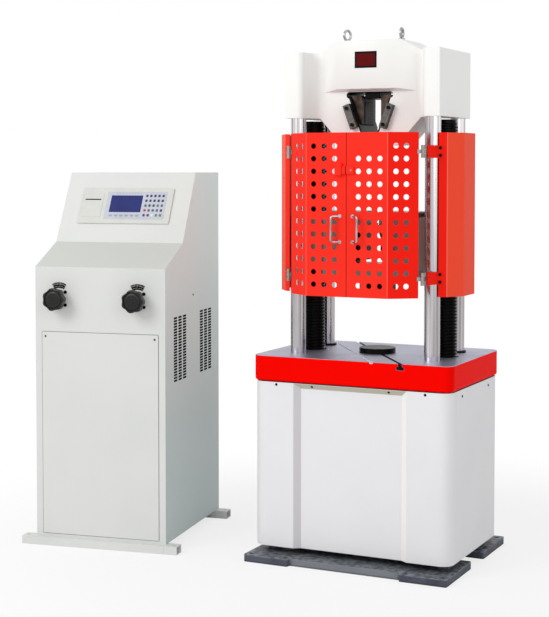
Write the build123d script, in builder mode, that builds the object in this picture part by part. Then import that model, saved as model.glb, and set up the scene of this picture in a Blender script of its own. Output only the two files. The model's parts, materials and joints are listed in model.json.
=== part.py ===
"""Universal testing machine: a hydraulic load frame with a separate control console.

Millimetres, Z up. The origin is on the floor, on the load axis, at the middle of the
load frame's base. X runs along the machine's width and the front faces -Y.
Most places are given from the part that carries the piece, by a named distance.
"""
from build123d import *

import os
from math import atan2, cos, hypot, radians, sin, tan

os.makedirs("parts", exist_ok=True)

# Columns: their centres set the machine's width and depth
column_x = 265
column_y = 134
column_r = 29

# Work table and cabinet in plan
table_past_column_x = 123
table_past_column_y = 142
table_half_x = column_x + table_past_column_x
table_half_y = column_y + table_past_column_y
table_corner = 36
cabinet_inset = 3
cabinet_half_x = table_half_x - cabinet_inset
cabinet_half_y = table_half_y - cabinet_inset
cabinet_corner = 44

# Base plate
base_thick = 27
pad_past_table_x = 6
pad_past_table_y = 60
pad_half_x = table_half_x + pad_past_table_x
pad_half_y = table_half_y + pad_past_table_y
pad_wide = 178
pad_front_deep = 273
pad_rear_deep = 257
pad_inner_x = pad_half_x - pad_wide
pad_front_inner_y = pad_half_y - pad_front_deep
pad_rear_inner_y = pad_half_y - pad_rear_deep
slab_inset_x = 86
slab_inset_y = 18
base_half_x = pad_half_x - slab_inset_x
base_half_y = pad_half_y - slab_inset_y
pad_round = 7
bolt_hole_r = 9
bolt_far_inset = 22
bolt_near_inset = 160
bolt_end_inset = 24
bolt_side_inset = 190
bolt_far_x = pad_half_x - bolt_far_inset
bolt_near_x = pad_half_x - bolt_near_inset
bolt_y = pad_half_y - bolt_end_inset
bolt_side_y = pad_half_y - bolt_side_inset

# Cabinet under the table
cabinet_lift = 26
cabinet_high = 611
cabinet_low = base_thick + cabinet_lift
cabinet_top = cabinet_low + cabinet_high
cabinet_sheet = 2
wrap_deep = 58
cabinet_wrap = cabinet_half_y - wrap_deep
recess_side = 164
recess_half_x = cabinet_half_x - recess_side
recess_bevel = 24
recess_depth = 17
recess_below_top = 20
recess_top = cabinet_top - recess_below_top
recess_lip = 1
panel_gap = 0.5
sheet_seat = 0.3
post_size = 38
post_inset_x = 48
post_inset_y = 88
post_x = cabinet_half_x - post_inset_x
post_y = cabinet_half_y - post_inset_y
ring_rail = 16
ring_wide = 80
ring_past_corner = 12
ring_corner = cabinet_corner + ring_past_corner

# Cylinder and piston
cylinder_r = 110
cylinder_wall = 35
cylinder_below_top = 124
cylinder_top = cabinet_top - cylinder_below_top
cylinder_floor = 40
flange_past_cylinder = 30
flange_r = cylinder_r + flange_past_cylinder
flange_thick = 28
gland_high = 34
gland_top = cylinder_top + gland_high
gland_lip = 3
piston_r = cylinder_r - cylinder_wall
piston_lift = 11
piston_low = base_thick + cylinder_floor + piston_lift
piston_clearance = 0.05

# Work table
table_gap = 3
table_thick = 93
table_low = cabinet_top + table_gap
table_top = table_low + table_thick
table_lower_edge = 9
table_upper_edge = 1.5
slot_angle = 35.5
slot_neck = 12
slot_bulb = 24
slot_bulb_high = 12
slot_depth = 24
groove_apart = 90
groove_wide = 10
groove_deep = 6
platen_r = 68
platen_thick = 19
platen_spigot_r = 20
platen_edge = 1.5
screw_hole_r = 52
column_seat = 23
column_low = table_low + column_seat

# Middle crosshead and upper platen
platen_space = 217
upper_platen_thick = 24
platen_stem = 30
platen_stem_r = 45
upper_platen_low = table_top + platen_thick + platen_space
cross_low = upper_platen_low + upper_platen_thick + platen_stem
pocket_floor = 44
pocket_deep = 196
cross_top = cross_low + pocket_floor + pocket_deep
cross_past_column = 71
cross_end_x = column_x + cross_past_column
cross_column_gap = 9
cross_end_y = column_y - column_r - cross_column_gap
cross_end_rise = 30
cross_end_drop = 20
cross_end_low = cross_low + cross_end_rise
cross_end_top = cross_top - cross_end_drop
cross_corner = 15
nut_r = 65
nut_flange_r = cross_past_column
nut_flange = 14
nut_rise = 40
nut_low = cross_low + nut_rise
nut_clearance = 0.08

# Upper crosshead
tension_space = 245
head_low = cross_top + tension_space
pocket_top = head_low + pocket_deep
head_over_pocket = 187
head_top = pocket_top + head_over_pocket
mirror_plane_z = (cross_top + head_low) / 2
sleeve_rise = 100
sleeve_drop = 40
sleeve_low = head_low + sleeve_rise
sleeve_top = head_top - sleeve_drop
sleeve_to_column = 33
sleeve_past_column = 38
sleeve_past_y = 36
sleeve_inner_x = column_x - sleeve_to_column
sleeve_outer_x = column_x + sleeve_past_column
sleeve_half_y = column_y + sleeve_past_y
sleeve_blend = 30
sleeve_inner_round = 22
sleeve_outer_round = 5
head_to_sleeve = 32
head_half_x = sleeve_inner_x - head_to_sleeve
head_face_back = 50
head_half_y = column_y - head_face_back
head_top_run = 70
head_foot_run = 90
head_top_half_x = head_half_x - head_top_run
head_foot_half_x = head_half_x - head_foot_run
hood_side_run = 82
hood_root_run = 20
hood_half_x = head_half_x - hood_side_run
hood_wide_x = head_half_x - hood_root_run
hood_past_face = 28
hood_y = head_half_y + hood_past_face
hood_over_pocket = 1
hood_slope = 9
hood_root = pocket_top + hood_over_pocket
hood_low = hood_root + hood_slope
eye_inset = 22
eye_x = head_top_half_x - eye_inset
eye_y = -40
eye_ring_r = 18
eye_wire_r = 5
eye_rise = 26
eye_seat_r = 12.5
eye_seat = 7
eye_shank = 18
eye_turn_left = 19
eye_turn_right = -5
plate_wide = 86
plate_high = 60
plate_thick = 1.6
plate_rim = 5
plate_sunk = 0.6
plate_x = -5
plate_below_top = 71
plate_z = head_top - plate_below_top
cross_mid_inset = 10
cross_mid_x = head_half_x - cross_mid_inset
cross_mid_y = head_half_y

# Grips
grip_angle = 20
grip_ref_x = 40
grip_ref_rise = 73
grip_ref_z = head_low + grip_ref_rise
liner_thick = 6
throat_rise = 48
throat_z = head_low + throat_rise
ear_r = 12
ear_z = pocket_top - ear_r
jaw_gap = 0.3
carrier_half_y = 65
carrier_inner_x = 37
carrier_round = 14
carrier_low_rise = 79
carrier_headroom = 12
carrier_low = head_low + carrier_low_rise
carrier_top = pocket_top - carrier_headroom
insert_inner_x = 34.5
insert_half_y = 41
insert_low_rise = 81
insert_headroom = 29
insert_low = head_low + insert_low_rise
insert_high = pocket_top - insert_headroom
tooth_pitch = 6
tooth_deep = 1.5
strip_past_slope = 20
strip_wide = 28
strip_thick = 22
strip_low_rise = 62
strip_high_drop = 47
strip_low = head_low + strip_low_rise
strip_high = pocket_top - strip_high_drop
strip_bolt_r = 6.5
strip_bolt_high = 6
strip_socket_r = 3.2
strip_socket = 3.5
strip_bolt_inset = 13
strip_bolt_zs = (strip_low + strip_bolt_inset, strip_high - strip_bolt_inset)
stop_half_x = 29
stop_half_y = 60
stop_high = 24

# Lead screws and their gearmotors
screw_r = 46
screw_journal_r = 30
screw_lift = 8
screw_low = base_thick + screw_lift
screw_below_sleeve = 8
screw_top = sleeve_low - screw_below_sleeve
screw_clearance = 0.05
gearbox_high = 102
gearbox_top = base_thick + gearbox_high
gearbox_half_x = 63
gearbox_half_y = 75
gearbox_inset = 20
gearbox_x = column_x - gearbox_inset
gearbox_corner = 10
screw_shoulder_gap = 1
screw_shoulder = gearbox_top + screw_shoulder_gap
motor_r = 50
motor_long = 130
motor_lift = 53
motor_z = base_thick + motor_lift
motor_boss_r = 34
motor_boss = 8
column_below_top = 50
column_top = head_top - column_below_top

# Guard
guard_past_low = 60
guard_past_top = 287
guard_low = cross_low - guard_past_low
guard_high = cross_top + guard_past_top
guard_sheet = 2
door_past_column = 167
door_y = column_y + door_past_column
door_bend_inset = 108
door_end_inset = 17
door_end_back = 68
door_bend_x = column_x - door_bend_inset
door_end_x = column_x - door_end_inset
door_end_y = door_y - door_end_back
seam_gap = 0.6
side_inner_past_x = 29
side_inner_past_y = 18.6
side_fold_past_x = 55
side_fold_past_y = 2
side_outer_past_x = 98
side_outer_back_y = 59
side_rear_y = 46
side_inner_x = column_x + side_inner_past_x
side_inner_y = column_y + side_inner_past_y
side_fold_x = column_x + side_fold_past_x
side_fold_y = column_y + side_fold_past_y
side_outer_x = column_x + side_outer_past_x
side_outer_y = column_y - side_outer_back_y
side_flange = 12
hole_r = 10
hole_end_margin = 48
hole_low_margin = 42.9
hole_rows = 12
hole_top = guard_high - hole_end_margin
hole_pitch = (hole_top - guard_low - hole_low_margin) / (hole_rows - 1)
hole_first_x = 46
hole_step_x = 41
hole_columns = 3
bevel_first = 31
bevel_second = 69
hinge_inset = 3
hinge_x = column_x - hinge_inset
hinge_back = 5
hinge_y = door_end_y - hinge_back
hinge_high = 45
hinge_r = 7
hinge_pin_r = 3.5
leaf_thick = 2
leaf_length = 20
frame_leaf_length = 34
hinge_clearance = 0.05
hinge_end_gap = 0.4
bracket_margin = 68
bracket_zs = (guard_high - bracket_margin, guard_low + bracket_margin)
bracket_thick = 4
bracket_start = 22
foot_before = 5.5
foot_after = 13.5
bolt_after = 4
bracket_bolt_r = 6
bracket_bolt_high = 4
bracket_bolt_apart = 27
bracket_socket_r = 3
bracket_socket = 2
standoff_r = 10
standoff_y = 26
standoff_margin = 35
standoff_zs = (cross_end_low + standoff_margin, cross_end_top - standoff_margin)
handle_wire_r = 4
handle_in_x = 25
handle_out_x = 50
handle_reach = 23
handle_rise = 197
handle_long = 92
handle_low = guard_low + handle_rise
handle_high = handle_low + handle_long
handle_bend = 9
handle_foot_r = 7
handle_foot = 2
lock_far_x = 40
lock_near_x = 15
lock_below_top = 153
lock_high_z = 45
lock_low = guard_high - lock_below_top
lock_high = lock_low + lock_high_z
lock_deep = 15
nose_inset_low = 5
nose_inset_high = 13
nose_low = lock_low + nose_inset_low
nose_high = lock_high - nose_inset_high
nose_deep = 9
actuator_far_x = 30
actuator_deep = 8
lock_round = 2

# Control console, in its own frame: x across, y back from the front sheet
console_x = -974
console_y = -402
console_turn = 9.5
console_half_x = 266
console_deep = 623
rail_high = 31
console_low = rail_high
front_high = 1042
desk_front_z = console_low + front_high
desk_rear_y = 191
desk_rise = 87
desk_rear_z = desk_front_z + desk_rise
panel_back = 152
panel_high = 273
panel_top_y = desk_rear_y + panel_back
console_top = desk_rear_z + panel_high
console_sheet = 2
rail_past_side = 52
rail_half_x = console_half_x + rail_past_side
rail_deep = 50
rail_wall = 3
rail_rear_inset = 25
rail_rear_y = console_deep - rail_rear_inset
rail_hole_r = 6
rail_hole_inset = 18
door_side = 28
door_rise = 12
door_below_desk = 250
door_half_x = console_half_x - door_side
door_low = console_low + door_rise
door_high = desk_front_z - door_below_desk
door_thick = 2
door_lap = 25
opening_half_x = door_half_x - door_lap
opening_low = door_low + door_lap
opening_high = door_high - door_lap
bezel_side = 72
bezel_half_x = console_half_x - bezel_side
bezel_low = 81
bezel_high = 238
bezel_thick = 6
bezel_corner = 5
keypad_left_margin = 110
keypad_right_margin = 26
keypad_low_margin = 19
keypad_high_margin = 17
keypad_left = -bezel_half_x + keypad_left_margin
keypad_right = bezel_half_x - keypad_right_margin
keypad_low = bezel_low + keypad_low_margin
keypad_high = bezel_high - keypad_high_margin
keypad_thick = 1
keypad_corner = 2.5
screen_left_margin = 18
screen_right_margin = 100
screen_low_margin = 30
screen_high_margin = 16
screen_left = keypad_left + screen_left_margin
screen_right = keypad_right - screen_right_margin
screen_low = keypad_low + screen_low_margin
screen_high = keypad_high - screen_high_margin
screen_thick = 0.5
valve_side = 105
valve_shift = -5
valve_x = console_half_x - valve_side
valve_below_desk = 121
valve_z = desk_front_z - valve_below_desk
valve_body = 70
valve_body_deep = 60
valve_stem_r = 8
valve_stem_out = 48
valve_screw_apart = 50
valve_screw_r = 6.5
valve_screw_high = 3
sector_inner_r = 41
sector_outer_r = 62
sector_start_angle = 62
sector_end_angle = 118
sector_thick = 1.5
knob_r = 44
knob_body_r = 36
knob_lobes = 7
knob_lobe_r = 14
knob_near = 32
knob_thick = 30
knob_hub_r = 17
knob_seat = 0.3
stem_clearance = 0.05
stem_hole_gap = 3
tank_side = 66
tank_half_x = console_half_x - tank_side
tank_front = 120
tank_rear_inset = 103
tank_rear = console_deep - tank_rear_inset
tank_high = 330
tank_wall = 4
tank_corner = 10
pump_r = 85
pump_x = -60
pump_y = 320
pump_high = 300
pump_base = 60
pump_neck_r = 55
box_side = 86
box_half_x = console_half_x - box_side
box_deep = 30
box_high = 150


def strip_outline(path, thick):
    """Outline of a bent sheet: the path, and the same path offset to its left by thick."""
    offset_path = []
    for i, (x, y) in enumerate(path):
        normals = []
        for a, b in ((i - 1, i), (i, i + 1)):
            if 0 <= a and b < len(path):
                dx = path[b][0] - path[a][0]
                dy = path[b][1] - path[a][1]
                normals.append((-dy / hypot(dx, dy), dx / hypot(dx, dy)))
        nx = sum(n[0] for n in normals) / len(normals)
        ny = sum(n[1] for n in normals) / len(normals)
        scale = thick / (nx * nx + ny * ny)
        offset_path.append((x + nx * scale, y + ny * scale))
    return path + offset_path[::-1]


def mirrored(points, side):
    """The same points on the right (side 1) or mirrored to the left (side -1)."""
    return [(side * x, y) for x, y in points]


def slope_x(z):
    """Half-width of the grip pocket's sliding face at height z."""
    return grip_ref_x + (z - grip_ref_z) * tan(radians(grip_angle))


# Base plate: one slab with a pad at each corner
with BuildPart() as base_plate:
    with BuildSketch():
        Rectangle(2 * base_half_x, 2 * base_half_y)
        for sx in (-1, 1):
            for y_in, y_out in ((-pad_front_inner_y, -pad_half_y), (pad_rear_inner_y, pad_half_y)):
                pad_mid = (sx * (pad_inner_x + pad_half_x) / 2, (y_in + y_out) / 2)
                with Locations(pad_mid):
                    Rectangle(pad_half_x - pad_inner_x, abs(y_out - y_in))
    extrude(amount=base_thick)
    outer = base_plate.edges().filter_by(Axis.Z)
    fillet(outer, radius=pad_round)
    with Locations(
        *[(sx * bolt_far_x, sy * bolt_y, base_thick) for sx in (-1, 1) for sy in (-1, 1)],
        *[(sx * bolt_near_x, sy * bolt_y, base_thick) for sx in (-1, 1) for sy in (-1, 1)],
        *[(sx * bolt_far_x, sy * bolt_side_y, base_thick) for sx in (-1, 1) for sy in (-1, 1)],
    ):
        Hole(radius=bolt_hole_r)
base_plate.part.label = "base_plate"
export_step(base_plate.part, "parts/base_plate.step")

# Inner frame: four posts and a ring of rails that carry the cabinet sheets
ring_half_x = cabinet_half_x - cabinet_sheet - sheet_seat
ring_front_y = cabinet_half_y - recess_depth - cabinet_sheet - sheet_seat
ring_rear_y = cabinet_half_y - cabinet_sheet - sheet_seat
with BuildPart() as inner_frame:
    with BuildSketch(Plane.XY.offset(base_thick)):
        with GridLocations(2 * post_x, 2 * post_y, 2, 2):
            Rectangle(post_size, post_size)
    extrude(amount=cabinet_top - ring_rail - base_thick)
    with BuildSketch(Plane.XY.offset(cabinet_top - ring_rail)):
        with Locations((0, (ring_rear_y - ring_front_y) / 2)):
            RectangleRounded(2 * ring_half_x, ring_rear_y + ring_front_y, ring_corner)
            Rectangle(
                2 * post_x - post_size, ring_rear_y + ring_front_y - 2 * ring_wide, mode=Mode.SUBTRACT
            )
    extrude(amount=ring_rail)
inner_frame.part.label = "inner_frame"
export_step(inner_frame.part, "parts/inner_frame.step")


def recess_volume(inset):
    """What the recess takes out of the cabinet's front, moved in by inset for its inner face."""
    reach = cabinet_half_y + recess_depth
    floor_y = cabinet_half_y - recess_depth - inset
    wide = recess_half_x + inset / 2
    with BuildPart() as dent:
        with BuildSketch(Plane.XY.offset(cabinet_low)):
            with BuildLine():
                Polyline(
                    (-wide - recess_bevel, -reach),
                    (-wide + recess_bevel, -floor_y),
                    (wide - recess_bevel, -floor_y),
                    (wide + recess_bevel, -reach),
                    close=True,
                )
            make_face()
        extrude(amount=cabinet_top - cabinet_low)
        with BuildSketch(Plane.YZ):
            with BuildLine():
                Polyline(
                    (-reach, cabinet_low),
                    (-floor_y, cabinet_low),
                    (-floor_y, recess_top + inset / 2),
                    (-cabinet_half_y + inset, cabinet_top - recess_lip + inset / 2),
                    (-reach, cabinet_top - recess_lip + inset / 2),
                    close=True,
                )
            make_face()
        extrude(amount=cabinet_half_x, both=True, mode=Mode.INTERSECT)
    return dent.part


def cabinet_volume(inset, with_recess):
    """The cabinet's outer shape, moved in by inset."""
    dent = recess_volume(inset)
    with BuildPart() as volume:
        with BuildSketch(Plane.XY.offset(cabinet_low)):
            RectangleRounded(
                2 * cabinet_half_x - 2 * inset, 2 * cabinet_half_y - 2 * inset, cabinet_corner - inset
            )
        extrude(amount=cabinet_top - cabinet_low)
        if with_recess:
            add(dent, mode=Mode.SUBTRACT)
    return volume.part


def cabinet_end(side, with_recess):
    """Front (side -1) or rear (side 1) sheet with rounded corners, and the front's recess."""
    outer = cabinet_volume(0, with_recess)
    inner = cabinet_volume(cabinet_sheet, with_recess)
    with BuildPart() as sheet:
        add(outer)
        add(inner, mode=Mode.SUBTRACT)
        with BuildSketch(Plane.XY.offset(cabinet_low)):
            with Locations((0, side * (cabinet_wrap + cabinet_half_y) / 2)):
                Rectangle(2 * cabinet_half_x, cabinet_half_y - cabinet_wrap)
        extrude(amount=cabinet_top - cabinet_low, mode=Mode.INTERSECT)
    return sheet


cabinet_front = cabinet_end(-1, True)
cabinet_front.part.label = "cabinet_front"
export_step(cabinet_front.part, "parts/cabinet_front.step")

cabinet_rear = cabinet_end(1, False)
cabinet_rear.part.label = "cabinet_rear"
export_step(cabinet_rear.part, "parts/cabinet_rear.step")

# Cabinet sides: flat sheets between the wrapped ends, folded in at the top
with BuildPart() as cabinet_sides:
    for sx in (-1, 1):
        with BuildSketch(Plane.XY.offset(cabinet_low)):
            with Locations((sx * (cabinet_half_x - cabinet_sheet / 2), 0)):
                Rectangle(cabinet_sheet, 2 * cabinet_wrap - 2 * panel_gap)
        extrude(amount=cabinet_top - cabinet_low)
cabinet_sides.part.label = "cabinet_sides"
export_step(cabinet_sides.part, "parts/cabinet_sides.step")

# Cylinder: a flanged body with a blind bore
with BuildPart() as cylinder_body:
    with BuildSketch(Plane.XY.offset(base_thick)):
        Circle(flange_r)
    extrude(amount=flange_thick)
    with BuildSketch(Plane.XY.offset(base_thick)):
        Circle(cylinder_r)
    extrude(amount=cylinder_top - base_thick)
    with BuildSketch(Plane.XY.offset(base_thick + cylinder_floor)):
        Circle(piston_r + piston_clearance)
    extrude(amount=cylinder_top - base_thick - cylinder_floor, mode=Mode.SUBTRACT)
cylinder_body.part.label = "cylinder_body"
export_step(cylinder_body.part, "parts/cylinder_body.step")

# Gland: the ring that closes the top of the cylinder round the piston
with BuildPart() as cylinder_gland:
    with BuildSketch(Plane.XY.offset(cylinder_top)):
        Circle(cylinder_r)
        Circle(piston_r + piston_clearance, mode=Mode.SUBTRACT)
    extrude(amount=gland_top - cylinder_top)
    chamfer(cylinder_gland.edges().group_by(Axis.Z)[-1], length=gland_lip)
cylinder_gland.part.label = "cylinder_gland"
export_step(cylinder_gland.part, "parts/cylinder_gland.step")

# Piston: rises with the table
with BuildPart() as piston:
    with BuildSketch(Plane.XY.offset(piston_low)):
        Circle(piston_r)
    extrude(amount=table_low - piston_low)
piston.part.label = "piston"
export_step(piston.part, "parts/piston.step")

# Gearmotors that turn the lead screws
with BuildPart() as screw_gearmotors:
    for sx in (-1, 1):
        with BuildSketch(Plane.XY.offset(base_thick)):
            with Locations((sx * gearbox_x, 0)):
                RectangleRounded(2 * gearbox_half_x, 2 * gearbox_half_y, gearbox_corner)
        extrude(amount=gearbox_top - base_thick)
        motor_plane = Plane(
            origin=(sx * gearbox_x, gearbox_half_y, motor_z), x_dir=(1, 0, 0), z_dir=(0, 1, 0)
        )
        with BuildSketch(motor_plane):
            Circle(motor_boss_r)
        extrude(amount=motor_boss)
        with BuildSketch(motor_plane.offset(motor_boss)):
            Circle(motor_r)
        extrude(amount=motor_long)
        with BuildSketch(Plane.XY.offset(screw_low)):
            with Locations((sx * column_x, 0)):
                Circle(screw_journal_r + screw_clearance)
        extrude(amount=gearbox_top - screw_low, mode=Mode.SUBTRACT)
screw_gearmotors.part.label = "screw_gearmotors"
export_step(screw_gearmotors.part, "parts/screw_gearmotors.step")

# Lead screws: plain to the thread crest, with a journal at each end
for side_name, sx in (("left", -1), ("right", 1)):
    with BuildPart() as lead_screw:
        with BuildSketch(Plane.XY.offset(screw_low)):
            with Locations((sx * column_x, 0)):
                Circle(screw_journal_r)
        extrude(amount=screw_top - screw_low)
        with BuildSketch(Plane.XY.offset(screw_shoulder)):
            with Locations((sx * column_x, 0)):
                Circle(screw_r)
        extrude(amount=screw_top - screw_shoulder)
    lead_screw.part.label = f"{side_name}_screw"
    export_step(lead_screw.part, f"parts/{side_name}_screw.step")

# Work table: thick slab, round corners, a slanting T-slot and a shallow groove beside it
slot_sin = sin(radians(slot_angle))
slot_cos = cos(radians(slot_angle))
with BuildPart() as work_table:
    with BuildSketch(Plane.XY.offset(table_low)):
        RectangleRounded(2 * table_half_x, 2 * table_half_y, table_corner)
    extrude(amount=table_thick)
    fillet(work_table.faces().sort_by(Axis.Z)[0].edges(), radius=table_lower_edge)
    chamfer(work_table.faces().sort_by(Axis.Z)[-1].edges(), length=table_upper_edge)
    slot_long = 2 * (table_half_x + table_half_y)
    slot_plane = Plane(
        origin=(0, 0, table_top), x_dir=(slot_cos, slot_sin, 0), z_dir=(0, 0, -1)
    )
    with BuildSketch(slot_plane):
        Rectangle(slot_neck, slot_long)
    extrude(amount=slot_depth, mode=Mode.SUBTRACT)
    with BuildSketch(slot_plane.offset(slot_depth - slot_bulb_high)):
        Rectangle(slot_bulb, slot_long)
    extrude(amount=slot_bulb_high, mode=Mode.SUBTRACT)
    with BuildSketch(slot_plane):
        with Locations((-groove_apart, 0)):
            Rectangle(groove_wide, slot_long)
    extrude(amount=groove_deep, mode=Mode.SUBTRACT)
    with BuildSketch(Plane.XY.offset(column_low)):
        with GridLocations(2 * column_x, 2 * column_y, 2, 2):
            Circle(column_r)
    extrude(amount=table_top - column_low, mode=Mode.SUBTRACT)
    with BuildSketch(Plane.XY.offset(table_low)):
        with Locations((-column_x, 0), (column_x, 0)):
            Circle(screw_hole_r)
    extrude(amount=table_thick, mode=Mode.SUBTRACT)
    with BuildSketch(Plane.XY.offset(table_top - slot_depth)):
        Circle(platen_spigot_r)
    extrude(amount=slot_depth, mode=Mode.SUBTRACT)
work_table.part.label = "work_table"
export_step(work_table.part, "parts/work_table.step")

# Lower platen: a disc with a spigot into the table's centre hole
with BuildPart() as lower_platen:
    with BuildSketch(Plane.XY.offset(table_top)):
        Circle(platen_r)
    extrude(amount=platen_thick)
    chamfer(lower_platen.edges().group_by(Axis.Z)[-1], length=platen_edge)
    with BuildSketch(Plane.XY.offset(table_top - slot_depth)):
        Circle(platen_spigot_r)
    extrude(amount=slot_depth)
lower_platen.part.label = "lower_platen"
export_step(lower_platen.part, "parts/lower_platen.step")

# Columns: four polished bars from the table to the upper crosshead
with BuildPart() as columns:
    with BuildSketch(Plane.XY.offset(column_low)):
        with GridLocations(2 * column_x, 2 * column_y, 2, 2):
            Circle(column_r)
    extrude(amount=column_top - column_low)
columns.part.label = "columns"
export_step(columns.part, "parts/columns.step")


liner_wide = liner_thick / cos(radians(grip_angle))


def grip_pocket():
    """V pocket over a straight throat, with room for the liners and an ear in each top corner."""
    with BuildPart() as pocket:
        with BuildSketch(Plane.XZ):
            with BuildLine():
                Polyline(
                    (-slope_x(throat_z) - liner_wide, head_low),
                    (slope_x(throat_z) + liner_wide, head_low),
                    (slope_x(throat_z) + liner_wide, throat_z),
                    (slope_x(ear_z) + liner_wide, ear_z),
                    (slope_x(ear_z), pocket_top),
                    (-slope_x(ear_z), pocket_top),
                    (-slope_x(ear_z) - liner_wide, ear_z),
                    (-slope_x(throat_z) - liner_wide, throat_z),
                    close=True,
                )
            make_face()
            with Locations((-slope_x(ear_z), ear_z), (slope_x(ear_z), ear_z)):
                Circle(ear_r)
        extrude(amount=max(head_half_y, cross_end_y), both=True)
    return pocket.part


upper_pocket = grip_pocket()
lower_pocket = mirror(upper_pocket, about=Plane.XY.offset(mirror_plane_z))

head_outline = [
    (-head_foot_half_x, head_low),
    (head_foot_half_x, head_low),
    (head_half_x, sleeve_low),
    (head_half_x, sleeve_top),
    (head_top_half_x, head_top),
    (-head_top_half_x, head_top),
    (-head_half_x, sleeve_top),
    (-head_half_x, sleeve_low),
]

# Hood over the grip pocket, on both faces of the crosshead
with BuildPart() as hood:
    with BuildSketch(Plane.XY.offset(hood_root)):
        with BuildLine():
            Polyline(
                (-hood_wide_x, -head_half_y),
                (-hood_half_x, -hood_y),
                (hood_half_x, -hood_y),
                (hood_wide_x, -head_half_y),
                (hood_wide_x, head_half_y),
                (hood_half_x, hood_y),
                (-hood_half_x, hood_y),
                (-hood_wide_x, head_half_y),
                close=True,
            )
        make_face()
    extrude(amount=head_top - hood_root)
    with BuildSketch(Plane.XZ):
        with BuildLine():
            Polyline(*head_outline, close=True)
        make_face()
    extrude(amount=hood_y, both=True, mode=Mode.INTERSECT)
    with BuildSketch(Plane.YZ):
        with BuildLine():
            Polyline(
                (-head_half_y, hood_root),
                (head_half_y, hood_root),
                (hood_y, hood_low),
                (hood_y, head_top),
                (-hood_y, head_top),
                (-hood_y, hood_low),
                close=True,
            )
        make_face()
    extrude(amount=hood_wide_x, both=True, mode=Mode.INTERSECT)

# Upper crosshead: block, column sleeves and a hood over the grip on each face
with BuildPart() as upper_crosshead:
    with BuildSketch(Plane.XZ):
        with BuildLine():
            Polyline(*head_outline, close=True)
        make_face()
    extrude(amount=head_half_y, both=True)
    with BuildSketch(Plane.XY.offset(sleeve_low)) as sleeve_plan:
        Rectangle(2 * sleeve_inner_x, 2 * head_half_y)
        with GridLocations(sleeve_inner_x + sleeve_outer_x, 0, 2, 1):
            Rectangle(sleeve_outer_x - sleeve_inner_x, 2 * sleeve_half_y)
        joints = [v for v in sleeve_plan.vertices() if abs(v.Y) < head_half_y + panel_gap]
        fillet(joints, radius=sleeve_blend)
        corners = [v for v in sleeve_plan.vertices() if abs(v.Y) > sleeve_half_y - panel_gap]
        fillet([v for v in corners if abs(v.X) < column_x], radius=sleeve_inner_round)
        corners = [v for v in sleeve_plan.vertices() if abs(v.X) > sleeve_outer_x - panel_gap]
        fillet(corners, radius=sleeve_outer_round)
    extrude(amount=sleeve_top - sleeve_low)
    add(hood.part)
    add(upper_pocket, mode=Mode.SUBTRACT)
    with BuildSketch(Plane.XY.offset(sleeve_low)):
        with GridLocations(2 * column_x, 2 * column_y, 2, 2):
            Circle(column_r)
    extrude(amount=column_top - sleeve_low, mode=Mode.SUBTRACT)
    with BuildSketch(Plane.XY.offset(head_top - eye_shank)):
        with Locations((-eye_x, eye_y), (eye_x, eye_y)):
            Circle(eye_wire_r)
    extrude(amount=eye_shank, mode=Mode.SUBTRACT)
upper_crosshead.part.label = "upper_crosshead"
export_step(upper_crosshead.part, "parts/upper_crosshead.step")

# Lifting eye bolts: ring, seat and shank
with BuildPart() as eye_bolts:
    for sx, turn in ((-1, eye_turn_left), (1, eye_turn_right)):
        with BuildSketch(Plane.XY.offset(head_top)):
            with Locations((sx * eye_x, eye_y)):
                Circle(eye_seat_r)
        extrude(amount=eye_seat)
        with BuildSketch(Plane.XY.offset(head_top - eye_shank)):
            with Locations((sx * eye_x, eye_y)):
                Circle(eye_wire_r)
        extrude(amount=eye_shank)
        ring_plane = Plane(
            origin=(sx * eye_x, eye_y, head_top + eye_rise),
            x_dir=(sin(radians(turn)), cos(radians(turn)), 0),
            z_dir=(cos(radians(turn)), -sin(radians(turn)), 0),
        )
        with Locations(ring_plane):
            Torus(eye_ring_r, eye_wire_r)
eye_bolts.part.label = "eye_bolts"
export_step(eye_bolts.part, "parts/eye_bolts.step")

# Name plate: a blank plate with a raised rim
with BuildPart() as name_plate:
    plate_plane = Plane(origin=(plate_x, -hood_y, plate_z), x_dir=(1, 0, 0), z_dir=(0, -1, 0))
    with BuildSketch(plate_plane):
        Rectangle(plate_wide, plate_high)
    extrude(amount=plate_thick)
    with BuildSketch(plate_plane.offset(plate_thick)):
        Rectangle(plate_wide - 2 * plate_rim, plate_high - 2 * plate_rim)
    extrude(amount=-plate_sunk, mode=Mode.SUBTRACT)
name_plate.part.label = "name_plate"
export_step(name_plate.part, "parts/name_plate.step")


def grip_liners():
    """Hard plates on the pocket's two slopes, from the throat up to the ears."""
    liner_top = ear_z - ear_r
    with BuildPart() as liners:
        for sx in (-1, 1):
            with BuildSketch(Plane.XZ):
                with BuildLine():
                    Polyline(
                        (sx * slope_x(throat_z), throat_z),
                        (sx * (slope_x(throat_z) + liner_wide), throat_z),
                        (sx * (slope_x(liner_top) + liner_wide), liner_top),
                        (sx * slope_x(liner_top), liner_top),
                        close=True,
                    )
                make_face()
            extrude(amount=head_half_y, both=True)
    return liners.part


def strip_x(z):
    """Half-distance between the keeper strips' middle lines at height z."""
    return slope_x(z) + strip_past_slope


def strip_plane(sx, z, y):
    """Plane on a strip's middle line at height z, facing the front, with y along the slope."""
    across = (cos(radians(grip_angle)), 0, -sx * sin(radians(grip_angle)))
    return Plane(origin=(sx * strip_x(z), y, z), x_dir=across, z_dir=(0, -1, 0))


def grip_strips():
    """Keeper strips on the block's face over the jaws' outer edges, front and rear."""
    length = (strip_high - strip_low) / cos(radians(grip_angle))
    with BuildPart() as strips:
        for sx in (-1, 1):
            for face_y in (-head_half_y - strip_thick, head_half_y):
                with BuildSketch(strip_plane(sx, (strip_low + strip_high) / 2, face_y + strip_thick)):
                    Rectangle(strip_wide, length)
                extrude(amount=strip_thick)
    return strips.part


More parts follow.
